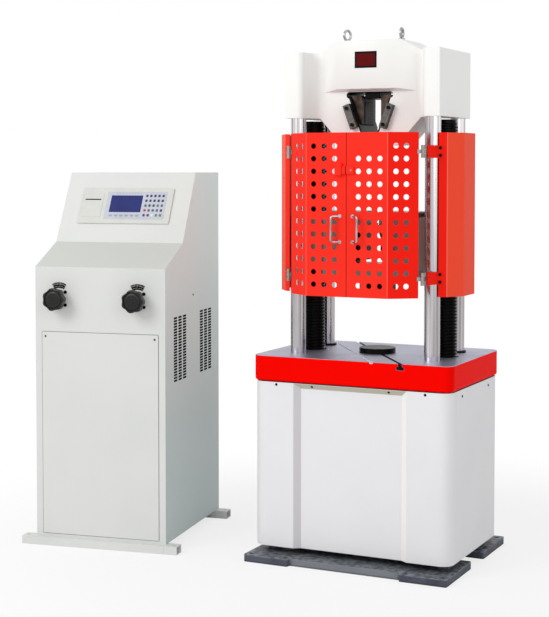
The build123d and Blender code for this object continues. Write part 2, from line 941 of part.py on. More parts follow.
def grip_bolts():
    """Socket-head screws in the keeper strips."""
    with BuildPart() as bolts:
        for sx in (-1, 1):
            for z in strip_bolt_zs:
                for sy in (-1, 1):
                    face_y = sy * (head_half_y + strip_thick)
                    seat = Plane(
                        origin=(sx * strip_x(z), face_y, z), x_dir=(1, 0, 0), z_dir=(0, sy, 0)
                    )
                    with BuildSketch(seat):
                        Circle(strip_bolt_r)
                    extrude(amount=strip_bolt_high)
                    with BuildSketch(seat.offset(strip_bolt_high)):
                        RegularPolygon(strip_socket_r, 6)
                    extrude(amount=-strip_socket, mode=Mode.SUBTRACT)
    return bolts.part


def grip_jaw(sx):
    """Wedge jaw: the carrier on the slope, and a toothed face towards the load axis."""
    slide = jaw_gap / cos(radians(grip_angle))
    with BuildPart() as jaw:
        with BuildSketch(Plane.XZ) as body:
            with BuildLine():
                Polyline(
                    (sx * carrier_inner_x, carrier_low),
                    (sx * (slope_x(carrier_low) - slide), carrier_low),
                    (sx * (slope_x(carrier_top) - slide), carrier_top),
                    (sx * carrier_inner_x, carrier_top),
                    close=True,
                )
            make_face()
            outer_top = body.vertices().group_by(Axis.Y)[-1].sort_by(Axis.X)[(sx - 1) // 2]
            fillet(outer_top, radius=carrier_round)
        extrude(amount=carrier_half_y, both=True)
        teeth = []
        count = int((insert_high - insert_low) // tooth_pitch)
        for i in range(2 * count + 1):
            root = tooth_deep * (i % 2)
            teeth.append((sx * (insert_inner_x + root), insert_low + i * tooth_pitch / 2))
        with BuildSketch(Plane.XZ):
            with BuildLine():
                Polyline(
                    *teeth,
                    (sx * carrier_inner_x, insert_low + count * tooth_pitch),
                    (sx * carrier_inner_x, insert_low),
                    close=True,
                )
            make_face()
        extrude(amount=insert_half_y, both=True)
    return jaw.part


def grip_stop():
    """Block under the pocket's ceiling, between the open jaws."""
    with BuildPart() as stop:
        with BuildSketch(Plane.XY.offset(pocket_top)):
            Rectangle(2 * stop_half_x, 2 * stop_half_y)
        extrude(amount=-stop_high)
    return stop.part


# The upper grip is made in place. The lower grip is its mirror image in the middle crosshead.
grip_parts = {
    "grip_liners": grip_liners(),
    "grip_strips": grip_strips(),
    "grip_bolts": grip_bolts(),
    "jaw_left": grip_jaw(-1),
    "jaw_right": grip_jaw(1),
}
for piece_name, solid in grip_parts.items():
    with BuildPart() as upper_piece:
        add(solid)
    upper_piece.part.label = f"upper_{piece_name}"
    export_step(upper_piece.part, f"parts/upper_{piece_name}.step")
    with BuildPart() as lower_piece:
        add(mirror(solid, about=Plane.XY.offset(mirror_plane_z)))
    lower_piece.part.label = f"lower_{piece_name}"
    export_step(lower_piece.part, f"parts/lower_{piece_name}.step")

with BuildPart() as upper_grip_bar:
    add(grip_stop())
upper_grip_bar.part.label = "upper_grip_bar"
export_step(upper_grip_bar.part, "parts/upper_grip_bar.step")

# Middle crosshead: a deep centre block with an end on each side for the screw nuts
with BuildPart() as middle_crosshead:
    with BuildSketch(Plane.XY.offset(cross_low)):
        Rectangle(2 * cross_mid_x, 2 * cross_mid_y)
    extrude(amount=cross_top - cross_low)
    for sx in (-1, 1):
        with BuildSketch(Plane.XY.offset(cross_end_low)) as end_plan:
            with Locations((sx * (cross_mid_x + cross_end_x) / 2, 0)):
                Rectangle(cross_end_x - cross_mid_x, 2 * cross_end_y)
            fillet(end_plan.vertices(), radius=cross_corner / 2)
        extrude(amount=cross_end_top - cross_end_low)
        with BuildSketch(Plane.XY.offset(cross_end_low)):
            with Locations((sx * cross_mid_x, 0)):
                Rectangle(2 * cross_corner, 2 * cross_mid_y)
        extrude(amount=cross_end_top - cross_end_low)
    add(lower_pocket, mode=Mode.SUBTRACT)
    with BuildSketch(Plane.XY.offset(nut_low)):
        with Locations((-column_x, 0), (column_x, 0)):
            Circle(nut_r)
    extrude(amount=cross_top - nut_low, mode=Mode.SUBTRACT)
    with BuildSketch(Plane.XY.offset(cross_low)):
        with Locations((-column_x, 0), (column_x, 0)):
            Circle(screw_hole_r)
    extrude(amount=nut_low - cross_low, mode=Mode.SUBTRACT)
middle_crosshead.part.label = "middle_crosshead"
export_step(middle_crosshead.part, "parts/middle_crosshead.step")

# Screw nuts: flanged sleeves in the crosshead's ends
with BuildPart() as screw_nuts:
    with BuildSketch(Plane.XY.offset(nut_low)):
        with Locations((-column_x, 0), (column_x, 0)):
            Circle(nut_r)
    extrude(amount=cross_end_top - nut_low)
    with BuildSketch(Plane.XY.offset(cross_end_top)):
        with Locations((-column_x, 0), (column_x, 0)):
            Circle(nut_flange_r)
    extrude(amount=nut_flange)
    with BuildSketch(Plane.XY.offset(nut_low)):
        with Locations((-column_x, 0), (column_x, 0)):
            Circle(screw_r + nut_clearance)
    extrude(amount=cross_end_top + nut_flange - nut_low, mode=Mode.SUBTRACT)
screw_nuts.part.label = "screw_nuts"
export_step(screw_nuts.part, "parts/screw_nuts.step")

# Upper platen: hangs under the middle crosshead on a stem
with BuildPart() as upper_platen:
    with BuildSketch(Plane.XY.offset(upper_platen_low)):
        Circle(platen_r)
    extrude(amount=upper_platen_thick)
    chamfer(upper_platen.edges().group_by(Axis.Z)[0], length=platen_edge)
    with BuildSketch(Plane.XY.offset(upper_platen_low + upper_platen_thick)):
        Circle(platen_stem_r)
    extrude(amount=cross_low - upper_platen_low - upper_platen_thick)
upper_platen.part.label = "upper_platen"
export_step(upper_platen.part, "parts/upper_platen.step")

# Guard side panels: bent sheets outside the columns, fixed to the middle crosshead
side_path = [
    (side_inner_x, -side_inner_y),
    (side_fold_x, -side_fold_y),
    (side_outer_x, -side_outer_y),
    (side_outer_x, side_rear_y),
    (side_outer_x - side_flange, side_rear_y),
]
with BuildPart() as guard_panels:
    for sx in (-1, 1):
        with BuildSketch(Plane.XY.offset(guard_low)):
            with BuildLine():
                Polyline(*mirrored(strip_outline(side_path, guard_sheet), sx), close=True)
            make_face()
        extrude(amount=guard_high - guard_low)
guard_panels.part.label = "guard_panels"
export_step(guard_panels.part, "parts/guard_panels.step")

# Standoffs between the crosshead's ends and the side panels
with BuildPart() as guard_standoffs:
    for sx in (-1, 1):
        for z in standoff_zs:
            for sy in (-1, 1):
                with BuildSketch(
                    Plane(origin=(sx * cross_end_x, sy * standoff_y, z), z_dir=(sx, 0, 0))
                ):
                    Circle(standoff_r)
                extrude(amount=side_outer_x - guard_sheet - cross_end_x)
guard_standoffs.part.label = "guard_standoffs"
export_step(guard_standoffs.part, "parts/guard_standoffs.step")

# Doors: bent perforated sheets that meet at the seam
bevel_dx = door_end_x - door_bend_x
bevel_dy = door_y - door_end_y
bevel_long = hypot(bevel_dx, bevel_dy)
bevel_ux = bevel_dx / bevel_long
bevel_uy = bevel_dy / bevel_long
door_path = [(seam_gap / 2, -door_y), (door_bend_x, -door_y), (door_end_x, -door_end_y)]
for side_name, sx, front_start in (("left", -1, 0), ("right", 1, 1)):
    with BuildPart() as door:
        with BuildSketch(Plane.XY.offset(guard_low)):
            with BuildLine():
                Polyline(*mirrored(strip_outline(door_path, guard_sheet), sx), close=True)
            make_face()
        extrude(amount=guard_high - guard_low)
        front_plane = Plane(origin=(0, -door_y, 0), x_dir=(1, 0, 0), z_dir=(0, -1, 0))
        with BuildSketch(front_plane):
            spots = [
                (sx * (hole_first_x + i * hole_step_x), hole_top - row * hole_pitch)
                for i in range(hole_columns)
                for row in range(front_start, hole_rows)
            ]
            with Locations(*spots):
                Circle(hole_r)
        extrude(amount=guard_sheet, both=True, mode=Mode.SUBTRACT)
        bevel_plane = Plane(
            origin=(sx * door_bend_x, -door_y, 0),
            x_dir=(bevel_ux, sx * bevel_uy, 0),
            z_dir=(sx * bevel_uy, -bevel_ux, 0),
        )
        with BuildSketch(bevel_plane):
            spots = [
                (sx * along, hole_top - row * hole_pitch)
                for along in (bevel_first, bevel_second)
                for row in range(hole_rows)
            ]
            with Locations(*spots):
                Circle(hole_r)
        extrude(amount=guard_sheet, both=True, mode=Mode.SUBTRACT)
    door.part.label = f"{side_name}_door"
    export_step(door.part, f"parts/{side_name}_door.step")

# Brackets: bent bars from the hinges, past the front columns, to the side panels
foot_dx = side_fold_x - side_inner_x
foot_dy = side_inner_y - side_fold_y
foot_long = hypot(foot_dx, foot_dy)
foot_ux = foot_dx / foot_long
foot_uy = foot_dy / foot_long


def on_foot(along):
    """Point on the side panel's front flat, at a distance past its inner edge."""
    return (side_inner_x + foot_ux * along, -side_inner_y + foot_uy * along)


bend_x, bend_y = on_foot(-foot_before)
leg_dx = bend_x - hinge_x
leg_dy = bend_y + hinge_y
leg_long = hypot(leg_dx, leg_dy)
leg_ux = leg_dx / leg_long
leg_uy = leg_dy / leg_long
bracket_path = [
    on_foot(foot_after),
    (bend_x, bend_y),
    (hinge_x + bracket_start * leg_ux, -hinge_y + bracket_start * leg_uy),
]
with BuildPart() as guard_brackets:
    for sx in (-1, 1):
        for z in bracket_zs:
            with BuildSketch(Plane.XY.offset(z - hinge_high / 2)):
                with BuildLine():
                    Polyline(*mirrored(strip_outline(bracket_path, bracket_thick), sx), close=True)
                make_face()
            extrude(amount=hinge_high)
guard_brackets.part.label = "guard_brackets"
export_step(guard_brackets.part, "parts/guard_brackets.step")

# Bracket bolts: two heads on each bracket's foot
bolt_x, bolt_foot_y = on_foot(bolt_after)
with BuildPart() as bracket_bolts:
    for sx in (-1, 1):
        for z in bracket_zs:
            for sz in (-1, 1):
                seat_x = bolt_x + foot_uy * bracket_thick
                seat_y = bolt_foot_y - foot_ux * bracket_thick
                seat = Plane(
                    origin=(sx * seat_x, seat_y, z + sz * bracket_bolt_apart / 2),
                    x_dir=(0, 0, 1),
                    z_dir=(sx * foot_uy, -foot_ux, 0),
                )
                with BuildSketch(seat):
                    Circle(bracket_bolt_r)
                extrude(amount=bracket_bolt_high)
                with BuildSketch(seat.offset(bracket_bolt_high)):
                    RegularPolygon(bracket_socket_r, 6)
                extrude(amount=-bracket_socket, mode=Mode.SUBTRACT)
bracket_bolts.part.label = "bracket_bolts"
export_step(bracket_bolts.part, "parts/bracket_bolts.step")

# Hinges: three knuckles on a pin. The outer two belong to the bracket, the middle one to the door.
knuckle = hinge_high / 3


def hinge_half(sx, along, out, long, z_low, high, bore):
    """A knuckle on one hinge's axis, with a leaf of a given length.

    along is the leaf's direction on the right-hand side, and out is how far the leaf's back
    stands from the axis, to the right of that direction.
    """
    ux, uy = along
    near_x, near_y = (hinge_x + uy * out, -hinge_y - ux * out)
    far_x, far_y = (hinge_x + uy * (out + leaf_thick), -hinge_y - ux * (out + leaf_thick))
    leaf_outline = [
        (near_x, near_y),
        (near_x + ux * long, near_y + uy * long),
        (far_x + ux * long, far_y + uy * long),
        (far_x, far_y),
    ]
    with BuildPart() as half:
        with BuildSketch(Plane.XY.offset(z_low)):
            with Locations((sx * hinge_x, -hinge_y)):
                Circle(hinge_r)
            with BuildLine():
                Polyline(*mirrored(leaf_outline, sx), close=True)
            make_face()
            with Locations((sx * hinge_x, -hinge_y)):
                Circle(bore, mode=Mode.SUBTRACT)
        extrude(amount=high)
    return half.part


frame_halves = []
for sx in (-1, 1):
    for z in bracket_zs:
        for z_low in (z - hinge_high / 2, z + hinge_high / 2 - knuckle + hinge_end_gap):
            frame_halves.append(
                hinge_half(
                    sx,
                    (leg_ux, leg_uy),
                    -leaf_thick,
                    frame_leaf_length,
                    z_low,
                    knuckle - hinge_end_gap,
                    hinge_pin_r,
                )
            )
with BuildPart() as hinge_frame_leaves:
    add(frame_halves)
hinge_frame_leaves.part.label = "hinge_frame_leaves"
export_step(hinge_frame_leaves.part, "parts/hinge_frame_leaves.step")

with BuildPart() as hinge_pins:
    for z in bracket_zs:
        with BuildSketch(Plane.XY.offset(z - hinge_high / 2)):
            with Locations((-hinge_x, -hinge_y), (hinge_x, -hinge_y)):
                Circle(hinge_pin_r)
        extrude(amount=hinge_high)
hinge_pins.part.label = "hinge_pins"
export_step(hinge_pins.part, "parts/hinge_pins.step")

# The door's leaf runs back along the bevel, so its outer side is to the left of that way
door_face_out = (hinge_x - door_end_x) * bevel_uy - (door_end_y - hinge_y) * bevel_ux
for side_name, sx in (("left", -1), ("right", 1)):
    door_halves = []
    for z in bracket_zs:
        door_halves.append(
            hinge_half(
                sx,
                (-bevel_ux, -bevel_uy),
                door_face_out - leaf_thick,
                leaf_length,
                z - knuckle / 2 + hinge_end_gap,
                knuckle - 2 * hinge_end_gap,
                hinge_pin_r + hinge_clearance,
            )
        )
    with BuildPart() as door_hinges:
        add(door_halves)
    door_hinges.part.label = f"{side_name}_door_hinges"
    export_step(door_hinges.part, f"parts/{side_name}_door_hinges.step")

# Handles: bent wires with small feet on the doors
for side_name, sx in (("left", -1), ("right", 1)):
    with BuildPart() as handle:
        with BuildLine() as wire:
            FilletPolyline(
                (sx * handle_in_x, -door_y, handle_low),
                (sx * handle_out_x, -door_y - handle_reach, handle_low),
                (sx * handle_out_x, -door_y - handle_reach, handle_high),
                (sx * handle_in_x, -door_y, handle_high),
                radius=handle_bend,
            )
        with BuildSketch(Plane(origin=wire.line @ 0, z_dir=wire.line % 0)):
            Circle(handle_wire_r)
        sweep()
        for z in (handle_low, handle_high):
            with BuildSketch(Plane(origin=(sx * handle_in_x, -door_y, z), z_dir=(0, -1, 0))):
                Circle(handle_foot_r)
            extrude(amount=handle_foot)
        with BuildSketch(Plane(origin=(0, -door_y, 0), x_dir=(1, 0, 0), z_dir=(0, 1, 0))):
            with Locations((sx * handle_in_x, -handle_low), (sx * handle_in_x, -handle_high)):
                Circle(handle_foot_r)
        extrude(amount=handle_foot_r, mode=Mode.SUBTRACT)
    handle.part.label = f"{side_name}_handle"
    export_step(handle.part, f"parts/{side_name}_handle.step")

# Door interlock: a sensor on the left door and its actuator on the right door
with BuildPart() as interlock_sensor:
    with BuildSketch(Plane.XZ.offset(door_y)):
        with Locations((-(lock_far_x + lock_near_x) / 2, (lock_low + lock_high) / 2)):
            Rectangle(lock_far_x - lock_near_x, lock_high - lock_low)
    extrude(amount=lock_deep)
    fillet(interlock_sensor.edges().group_by(Axis.Y)[0], radius=lock_round)
    with BuildSketch(Plane.XZ.offset(door_y)):
        with Locations((-(lock_near_x + seam_gap) / 2, (nose_low + nose_high) / 2)):
            Rectangle(lock_near_x - seam_gap, nose_high - nose_low)
    extrude(amount=nose_deep)
interlock_sensor.part.label = "interlock_sensor"
export_step(interlock_sensor.part, "parts/interlock_sensor.step")

with BuildPart() as interlock_actuator:
    with BuildSketch(Plane.XZ.offset(door_y)):
        with Locations(((actuator_far_x + seam_gap) / 2, (nose_low + nose_high) / 2)):
            Rectangle(actuator_far_x - seam_gap, nose_high - nose_low)
    extrude(amount=actuator_deep)
interlock_actuator.part.label = "interlock_actuator"
export_step(interlock_actuator.part, "parts/interlock_actuator.step")

# Console frame: x across, y back, turned about the vertical
turn_cos = cos(radians(console_turn))
turn_sin = sin(radians(console_turn))


def spot(x, y, z):
    """A point of the console's own frame, in the machine's frame."""
    return (
        console_x + x * turn_cos - y * turn_sin,
        console_y + x * turn_sin + y * turn_cos,
        z,
    )


def heading(x, y, z):
    """A direction of the console's own frame, in the machine's frame."""
    return (x * turn_cos - y * turn_sin, x * turn_sin + y * turn_cos, z)


def front_plane_at(x, y, z):
    """Plane facing the console's front, x to the right and y up."""
    return Plane(origin=spot(x, y, z), x_dir=heading(1, 0, 0), z_dir=heading(0, -1, 0))


panel_rise = console_top - desk_rear_z
panel_run = panel_top_y - desk_rear_y
panel_long = hypot(panel_rise, panel_run)
panel_up = (0, panel_run / panel_long, panel_rise / panel_long)
panel_out = (0, -panel_rise / panel_long, panel_run / panel_long)


def console_profile(inset):
    """Side outline of the console, moved in by inset."""
    lean = (1 - panel_run / panel_long) / (panel_rise / panel_long)
    desk_turn = atan2(desk_rear_z - desk_front_z, desk_rear_y)
    return [
        (inset, console_low + inset),
        (inset, desk_front_z - inset * (1 / cos(desk_turn)) + inset * tan(desk_turn)),
        (desk_rear_y + inset * lean, desk_rear_z - inset / 2),
        (panel_top_y + inset * lean, console_top - inset),
        (console_deep - inset, console_top - inset),
        (console_deep - inset, console_low + inset),
    ]


side_plane = Plane(origin=spot(0, 0, 0), x_dir=heading(0, 1, 0), z_dir=heading(1, 0, 0))

# Console cabinet: a bent-sheet housing with a door opening and holes for the valve stems
with BuildPart() as console_cabinet:
    with BuildSketch(side_plane):
        with BuildLine():
            Polyline(*console_profile(0), close=True)
        make_face()
    extrude(amount=console_half_x, both=True)
    with BuildSketch(side_plane):
        with BuildLine():
            Polyline(*console_profile(console_sheet), close=True)
        make_face()
    extrude(amount=console_half_x - console_sheet, both=True, mode=Mode.SUBTRACT)
    with BuildSketch(front_plane_at(0, 0, (opening_low + opening_high) / 2)):
        Rectangle(2 * opening_half_x, opening_high - opening_low)
    extrude(amount=-2 * console_sheet, mode=Mode.SUBTRACT)
    with BuildSketch(front_plane_at(0, 0, valve_z)):
        with Locations((valve_shift - valve_x, 0), (valve_shift + valve_x, 0)):
            Circle(valve_stem_r + stem_hole_gap)
    extrude(amount=-2 * console_sheet, mode=Mode.SUBTRACT)
console_cabinet.part.label = "console_cabinet"
export_step(console_cabinet.part, "parts/console_cabinet.step")

# Console rails: two square tubes that carry the cabinet
with BuildPart() as console_rails:
    for mid_y in (0, rail_rear_y):
        with BuildSketch(
            Plane(origin=spot(0, mid_y, rail_high / 2), x_dir=heading(0, 1, 0), z_dir=heading(1, 0, 0))
        ):
            Rectangle(rail_deep, rail_high)
            Rectangle(rail_deep - 2 * rail_wall, rail_high - 2 * rail_wall, mode=Mode.SUBTRACT)
        extrude(amount=rail_half_x, both=True)
        with BuildSketch(
            Plane(origin=spot(0, mid_y, 0), x_dir=heading(1, 0, 0), z_dir=(0, 0, 1))
        ):
            with Locations((-rail_half_x + rail_hole_inset, 0), (rail_half_x - rail_hole_inset, 0)):
                Circle(rail_hole_r)
        extrude(amount=rail_high, mode=Mode.SUBTRACT)
console_rails.part.label = "console_rails"
export_step(console_rails.part, "parts/console_rails.step")

# Console door: a flat panel over the front opening
with BuildPart() as console_door:
    with BuildSketch(front_plane_at(0, 0, (door_low + door_high) / 2)):
        RectangleRounded(2 * door_half_x, door_high - door_low, door_thick)
    extrude(amount=door_thick)
console_door.part.label = "console_door"
export_step(console_door.part, "parts/console_door.step")


def on_panel(x, s, lift):
    """Plane on the sloping panel: x across, s up the slope, lift off its surface."""
    ox, oy, oz = spot(x, desk_rear_y + s * panel_up[1], desk_rear_z + s * panel_up[2])
    nx, ny, nz = heading(*panel_out)
    return Plane(
        origin=(ox + nx * lift, oy + ny * lift, oz + nz * lift),
        x_dir=heading(1, 0, 0),
        z_dir=(nx, ny, nz),
    )


# Display bezel on the sloping panel
with BuildPart() as display_bezel:
    with BuildSketch(on_panel(0, (bezel_low + bezel_high) / 2, 0)):
        RectangleRounded(2 * bezel_half_x, bezel_high - bezel_low, bezel_corner)
    extrude(amount=bezel_thick)
display_bezel.part.label = "display_bezel"
export_step(display_bezel.part, "parts/display_bezel.step")

# Membrane keypad: one overlay with a window for the screen
with BuildPart() as membrane_keypad:
    mid_x = (keypad_left + keypad_right) / 2
    mid_s = (keypad_low + keypad_high) / 2
    with BuildSketch(on_panel(mid_x, mid_s, bezel_thick)):
        RectangleRounded(keypad_right - keypad_left, keypad_high - keypad_low, keypad_corner)
        with Locations(((screen_left + screen_right) / 2 - mid_x, (screen_low + screen_high) / 2 - mid_s)):
            Rectangle(screen_right - screen_left, screen_high - screen_low, mode=Mode.SUBTRACT)
    extrude(amount=keypad_thick)
membrane_keypad.part.label = "membrane_keypad"
export_step(membrane_keypad.part, "parts/membrane_keypad.step")

# Display screen in the overlay's window
with BuildPart() as display_screen:
    with BuildSketch(
        on_panel((screen_left + screen_right) / 2, (screen_low + screen_high) / 2, bezel_thick)
    ):
        Rectangle(screen_right - screen_left, screen_high - screen_low)
    extrude(amount=screen_thick)
display_screen.part.label = "display_screen"
export_step(display_screen.part, "parts/display_screen.step")

# Valve bodies behind the front sheet, each with a stem through it
with BuildPart() as valve_bodies:
    for sx in (-1, 1):
        with BuildSketch(front_plane_at(valve_shift + sx * valve_x, console_sheet, valve_z)):
            Rectangle(valve_body, valve_body)
        extrude(amount=-valve_body_deep)
        with BuildSketch(front_plane_at(valve_shift + sx * valve_x, console_sheet, valve_z)):
            Circle(valve_stem_r)
        extrude(amount=console_sheet + valve_stem_out)
valve_bodies.part.label = "valve_bodies"
export_step(valve_bodies.part, "parts/valve_bodies.step")

with BuildPart() as valve_screws:
    for sx in (-1, 1):
        with BuildSketch(front_plane_at(valve_shift + sx * valve_x, 0, valve_z)):
            with GridLocations(valve_screw_apart, valve_screw_apart, 2, 2):
                Circle(valve_screw_r)
        extrude(amount=valve_screw_high)
valve_screws.part.label = "valve_screws"
export_step(valve_screws.part, "parts/valve_screws.step")

# Dial sectors: ring segments on the front sheet above each knob
with BuildPart() as dial_sectors:
    for sx in (-1, 1):
        with BuildSketch(front_plane_at(valve_shift + sx * valve_x, 0, valve_z)):
            with BuildLine():
                sector_angle = sector_end_angle - sector_start_angle
                inner_arc = CenterArc((0, 0), sector_inner_r, sector_start_angle, sector_angle)
                outer_arc = CenterArc((0, 0), sector_outer_r, sector_start_angle, sector_angle)
                Line(inner_arc @ 0, outer_arc @ 0)
                Line(inner_arc @ 1, outer_arc @ 1)
            make_face()
        extrude(amount=sector_thick)
dial_sectors.part.label = "dial_sectors"
export_step(dial_sectors.part, "parts/dial_sectors.step")

# Knobs: seven-lobed star knobs on the stems
for side_name, sx in (("left", -1), ("right", 1)):
    with BuildPart() as knob:
        with BuildSketch(front_plane_at(valve_shift + sx * valve_x, -knob_near, valve_z)):
            Circle(knob_body_r)
            with PolarLocations(knob_r - knob_lobe_r, knob_lobes):
                Circle(knob_lobe_r)
        extrude(amount=knob_thick)
        with BuildSketch(front_plane_at(valve_shift + sx * valve_x, -knob_seat, valve_z)):
            Circle(knob_hub_r)
        extrude(amount=knob_near)
        with BuildSketch(front_plane_at(valve_shift + sx * valve_x, 0, valve_z)):
            Circle(valve_stem_r + stem_clearance)
        extrude(amount=valve_stem_out + knob_seat, mode=Mode.SUBTRACT)
    knob.part.label = f"{side_name}_knob"
    export_step(knob.part, f"parts/{side_name}_knob.step")

# Oil tank on the console's floor
floor_z = console_low + console_sheet
with BuildPart() as oil_tank:
    with BuildSketch(
        Plane(origin=spot(0, (tank_front + tank_rear) / 2, floor_z), x_dir=heading(1, 0, 0), z_dir=(0, 0, 1))
    ):
        RectangleRounded(2 * tank_half_x, tank_rear - tank_front, tank_corner)
    extrude(amount=tank_high)
    with BuildSketch(
        Plane(
            origin=spot(0, (tank_front + tank_rear) / 2, floor_z + tank_wall),
            x_dir=heading(1, 0, 0),
            z_dir=(0, 0, 1),
        )
    ):
        Rectangle(2 * tank_half_x - 2 * tank_wall, tank_rear - tank_front - 2 * tank_wall)
    extrude(amount=tank_high - 2 * tank_wall, mode=Mode.SUBTRACT)
oil_tank.part.label = "oil_tank"
export_step(oil_tank.part, "parts/oil_tank.step")

# Pump and motor standing on the tank
with BuildPart() as pump_unit:
    pump_plane = Plane(
        origin=spot(pump_x, pump_y, floor_z + tank_high), x_dir=heading(1, 0, 0), z_dir=(0, 0, 1)
    )
    with BuildSketch(pump_plane):
        Circle(pump_neck_r)
    extrude(amount=pump_base)
    with BuildSketch(pump_plane.offset(pump_base)):
        Circle(pump_r)
    extrude(amount=pump_high - pump_base)
pump_unit.part.label = "pump_unit"
export_step(pump_unit.part, "parts/pump_unit.step")

# Control box behind the sloping panel
with BuildPart() as controller_box:
    with BuildSketch(on_panel(0, panel_long / 2, -console_sheet)):
        Rectangle(2 * box_half_x, box_high)
    extrude(amount=-box_deep)
controller_box.part.label = "controller_box"
export_step(controller_box.part, "parts/controller_box.step")
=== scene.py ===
"""Looks of a universal testing machine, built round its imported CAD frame. Pieces are worked out in mm and
become metres when their mesh is made. Finishes, lights and camera are in metres throughout."""
import json
from math import atan2, cos, hypot, pi, radians, sin

import bmesh
import bpy
import numpy as np
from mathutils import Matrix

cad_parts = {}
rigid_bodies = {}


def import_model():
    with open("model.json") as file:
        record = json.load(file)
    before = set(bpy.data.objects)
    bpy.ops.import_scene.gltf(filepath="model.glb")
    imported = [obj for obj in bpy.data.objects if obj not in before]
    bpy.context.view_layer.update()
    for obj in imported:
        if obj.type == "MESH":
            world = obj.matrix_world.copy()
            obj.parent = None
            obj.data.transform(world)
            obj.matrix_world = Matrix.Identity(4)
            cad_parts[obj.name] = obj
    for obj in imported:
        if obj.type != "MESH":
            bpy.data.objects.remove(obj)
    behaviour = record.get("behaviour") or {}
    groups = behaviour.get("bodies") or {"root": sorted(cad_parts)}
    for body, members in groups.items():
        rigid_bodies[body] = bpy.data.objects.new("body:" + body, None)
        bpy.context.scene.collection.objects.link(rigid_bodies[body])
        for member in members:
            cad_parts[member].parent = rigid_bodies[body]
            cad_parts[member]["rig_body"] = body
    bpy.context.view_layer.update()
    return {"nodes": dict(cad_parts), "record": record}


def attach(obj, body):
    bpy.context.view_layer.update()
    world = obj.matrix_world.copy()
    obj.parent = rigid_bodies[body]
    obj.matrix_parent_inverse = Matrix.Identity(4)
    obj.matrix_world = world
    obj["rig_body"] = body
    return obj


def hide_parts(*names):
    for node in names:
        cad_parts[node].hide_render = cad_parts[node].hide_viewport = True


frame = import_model()

METRE = 0.001

# Load frame, as in the solids
COLUMN_X = 265
COLUMN_Y = 134
COLUMN_R = 29
TABLE_TOP = 760
SLOT_TURN = radians(35.5)
SLOT_DROP = 12
SLOT_FLOOR = 736
GROOVE_ASIDE = -90
CABINET_HALF_X = 385
CABINET_HALF_Y = 273
RECESS_FLOOR_X = 197
RECESS_BEVEL = 24
LEDGE_LOW = 644
LEDGE_TALL = 19
HEAD_POCKET = (1535.5, 1731.5)
MIRROR_Z = 1412.5
DOOR_FOLD_X = 157
PANEL_FOLD_X = 320
BASE_THICK = 27
PAD_INNER_X = 216
PLATE_X = -5
PLATE_Z = 1847

# Control console, in its own frame: x across, y back from the front sheet
CONSOLE_X = -974
CONSOLE_Y = -402
CONSOLE_TURN = radians(9.5)
CONSOLE_HALF = 266
DESK_FRONT_Z = 1073
DESK_REAR = (191, 1160)
PANEL_TOP = (343, 1433)
VALVE_X = (-166, 156)
VALVE_Z = 952
BEZEL_THICK = 6
FILM_THICK = 1
DOOR_HALF_X = 238
DOOR_HALF_Z = 390
DOOR_Z = 433
DOOR_THICK = 2


# Shader maths

def paint(red, green, blue):
    """An 8-bit sRGB colour as linear RGBA: below 0.04045 a straight line, above it the 2.4 power curve."""
    channel = np.array([red, green, blue]) / 255
    linear = np.where(channel <= 0.04045, channel / 12.92, ((channel + 0.055) / 1.055) ** 2.4)
    return (*linear.tolist(), 1.0)


class Value:
    """A socket that holds a number or a colour. A formula on a number adds its Math nodes."""

    def __init__(self, tree, socket):
        self.tree = tree
        self.socket = socket

    def maths(self, operation, first, second=0.0):
        return self.tree.node("ShaderNodeMath", {"operation": operation}, {0: first, 1: second})

    def __add__(self, other):
        return self.maths("ADD", self, other)

    def __sub__(self, other):
        return self.maths("SUBTRACT", self, other)

    def __rsub__(self, other):
        return self.maths("SUBTRACT", other, self)

    def __mul__(self, other):
        return self.maths("MULTIPLY", self, other)

    def __abs__(self):
        return self.maths("ABSOLUTE", self)

    def __gt__(self, other):
        return self.maths("GREATER_THAN", self, other)

    def __lt__(self, other):
        return self.maths("LESS_THAN", self, other)


class Tree:
    """The nodes of a material or a world, and one method that adds any node."""

    def __init__(self, tree):
        self.nodes = tree.nodes
        self.links = tree.links

    def node(self, kind, settings, inputs, output=0):
        """A node of that kind, with its settings made first, then its sockets' values or links."""
        node = self.nodes.new(kind)
        for key, value in settings.items():
            setattr(node, key, value)
        for key, value in inputs.items():
            if isinstance(value, Value):
                self.links.new(value.socket, node.inputs[key])
            else:
                node.inputs[key].default_value = value
        return Value(self, node.outputs[output])


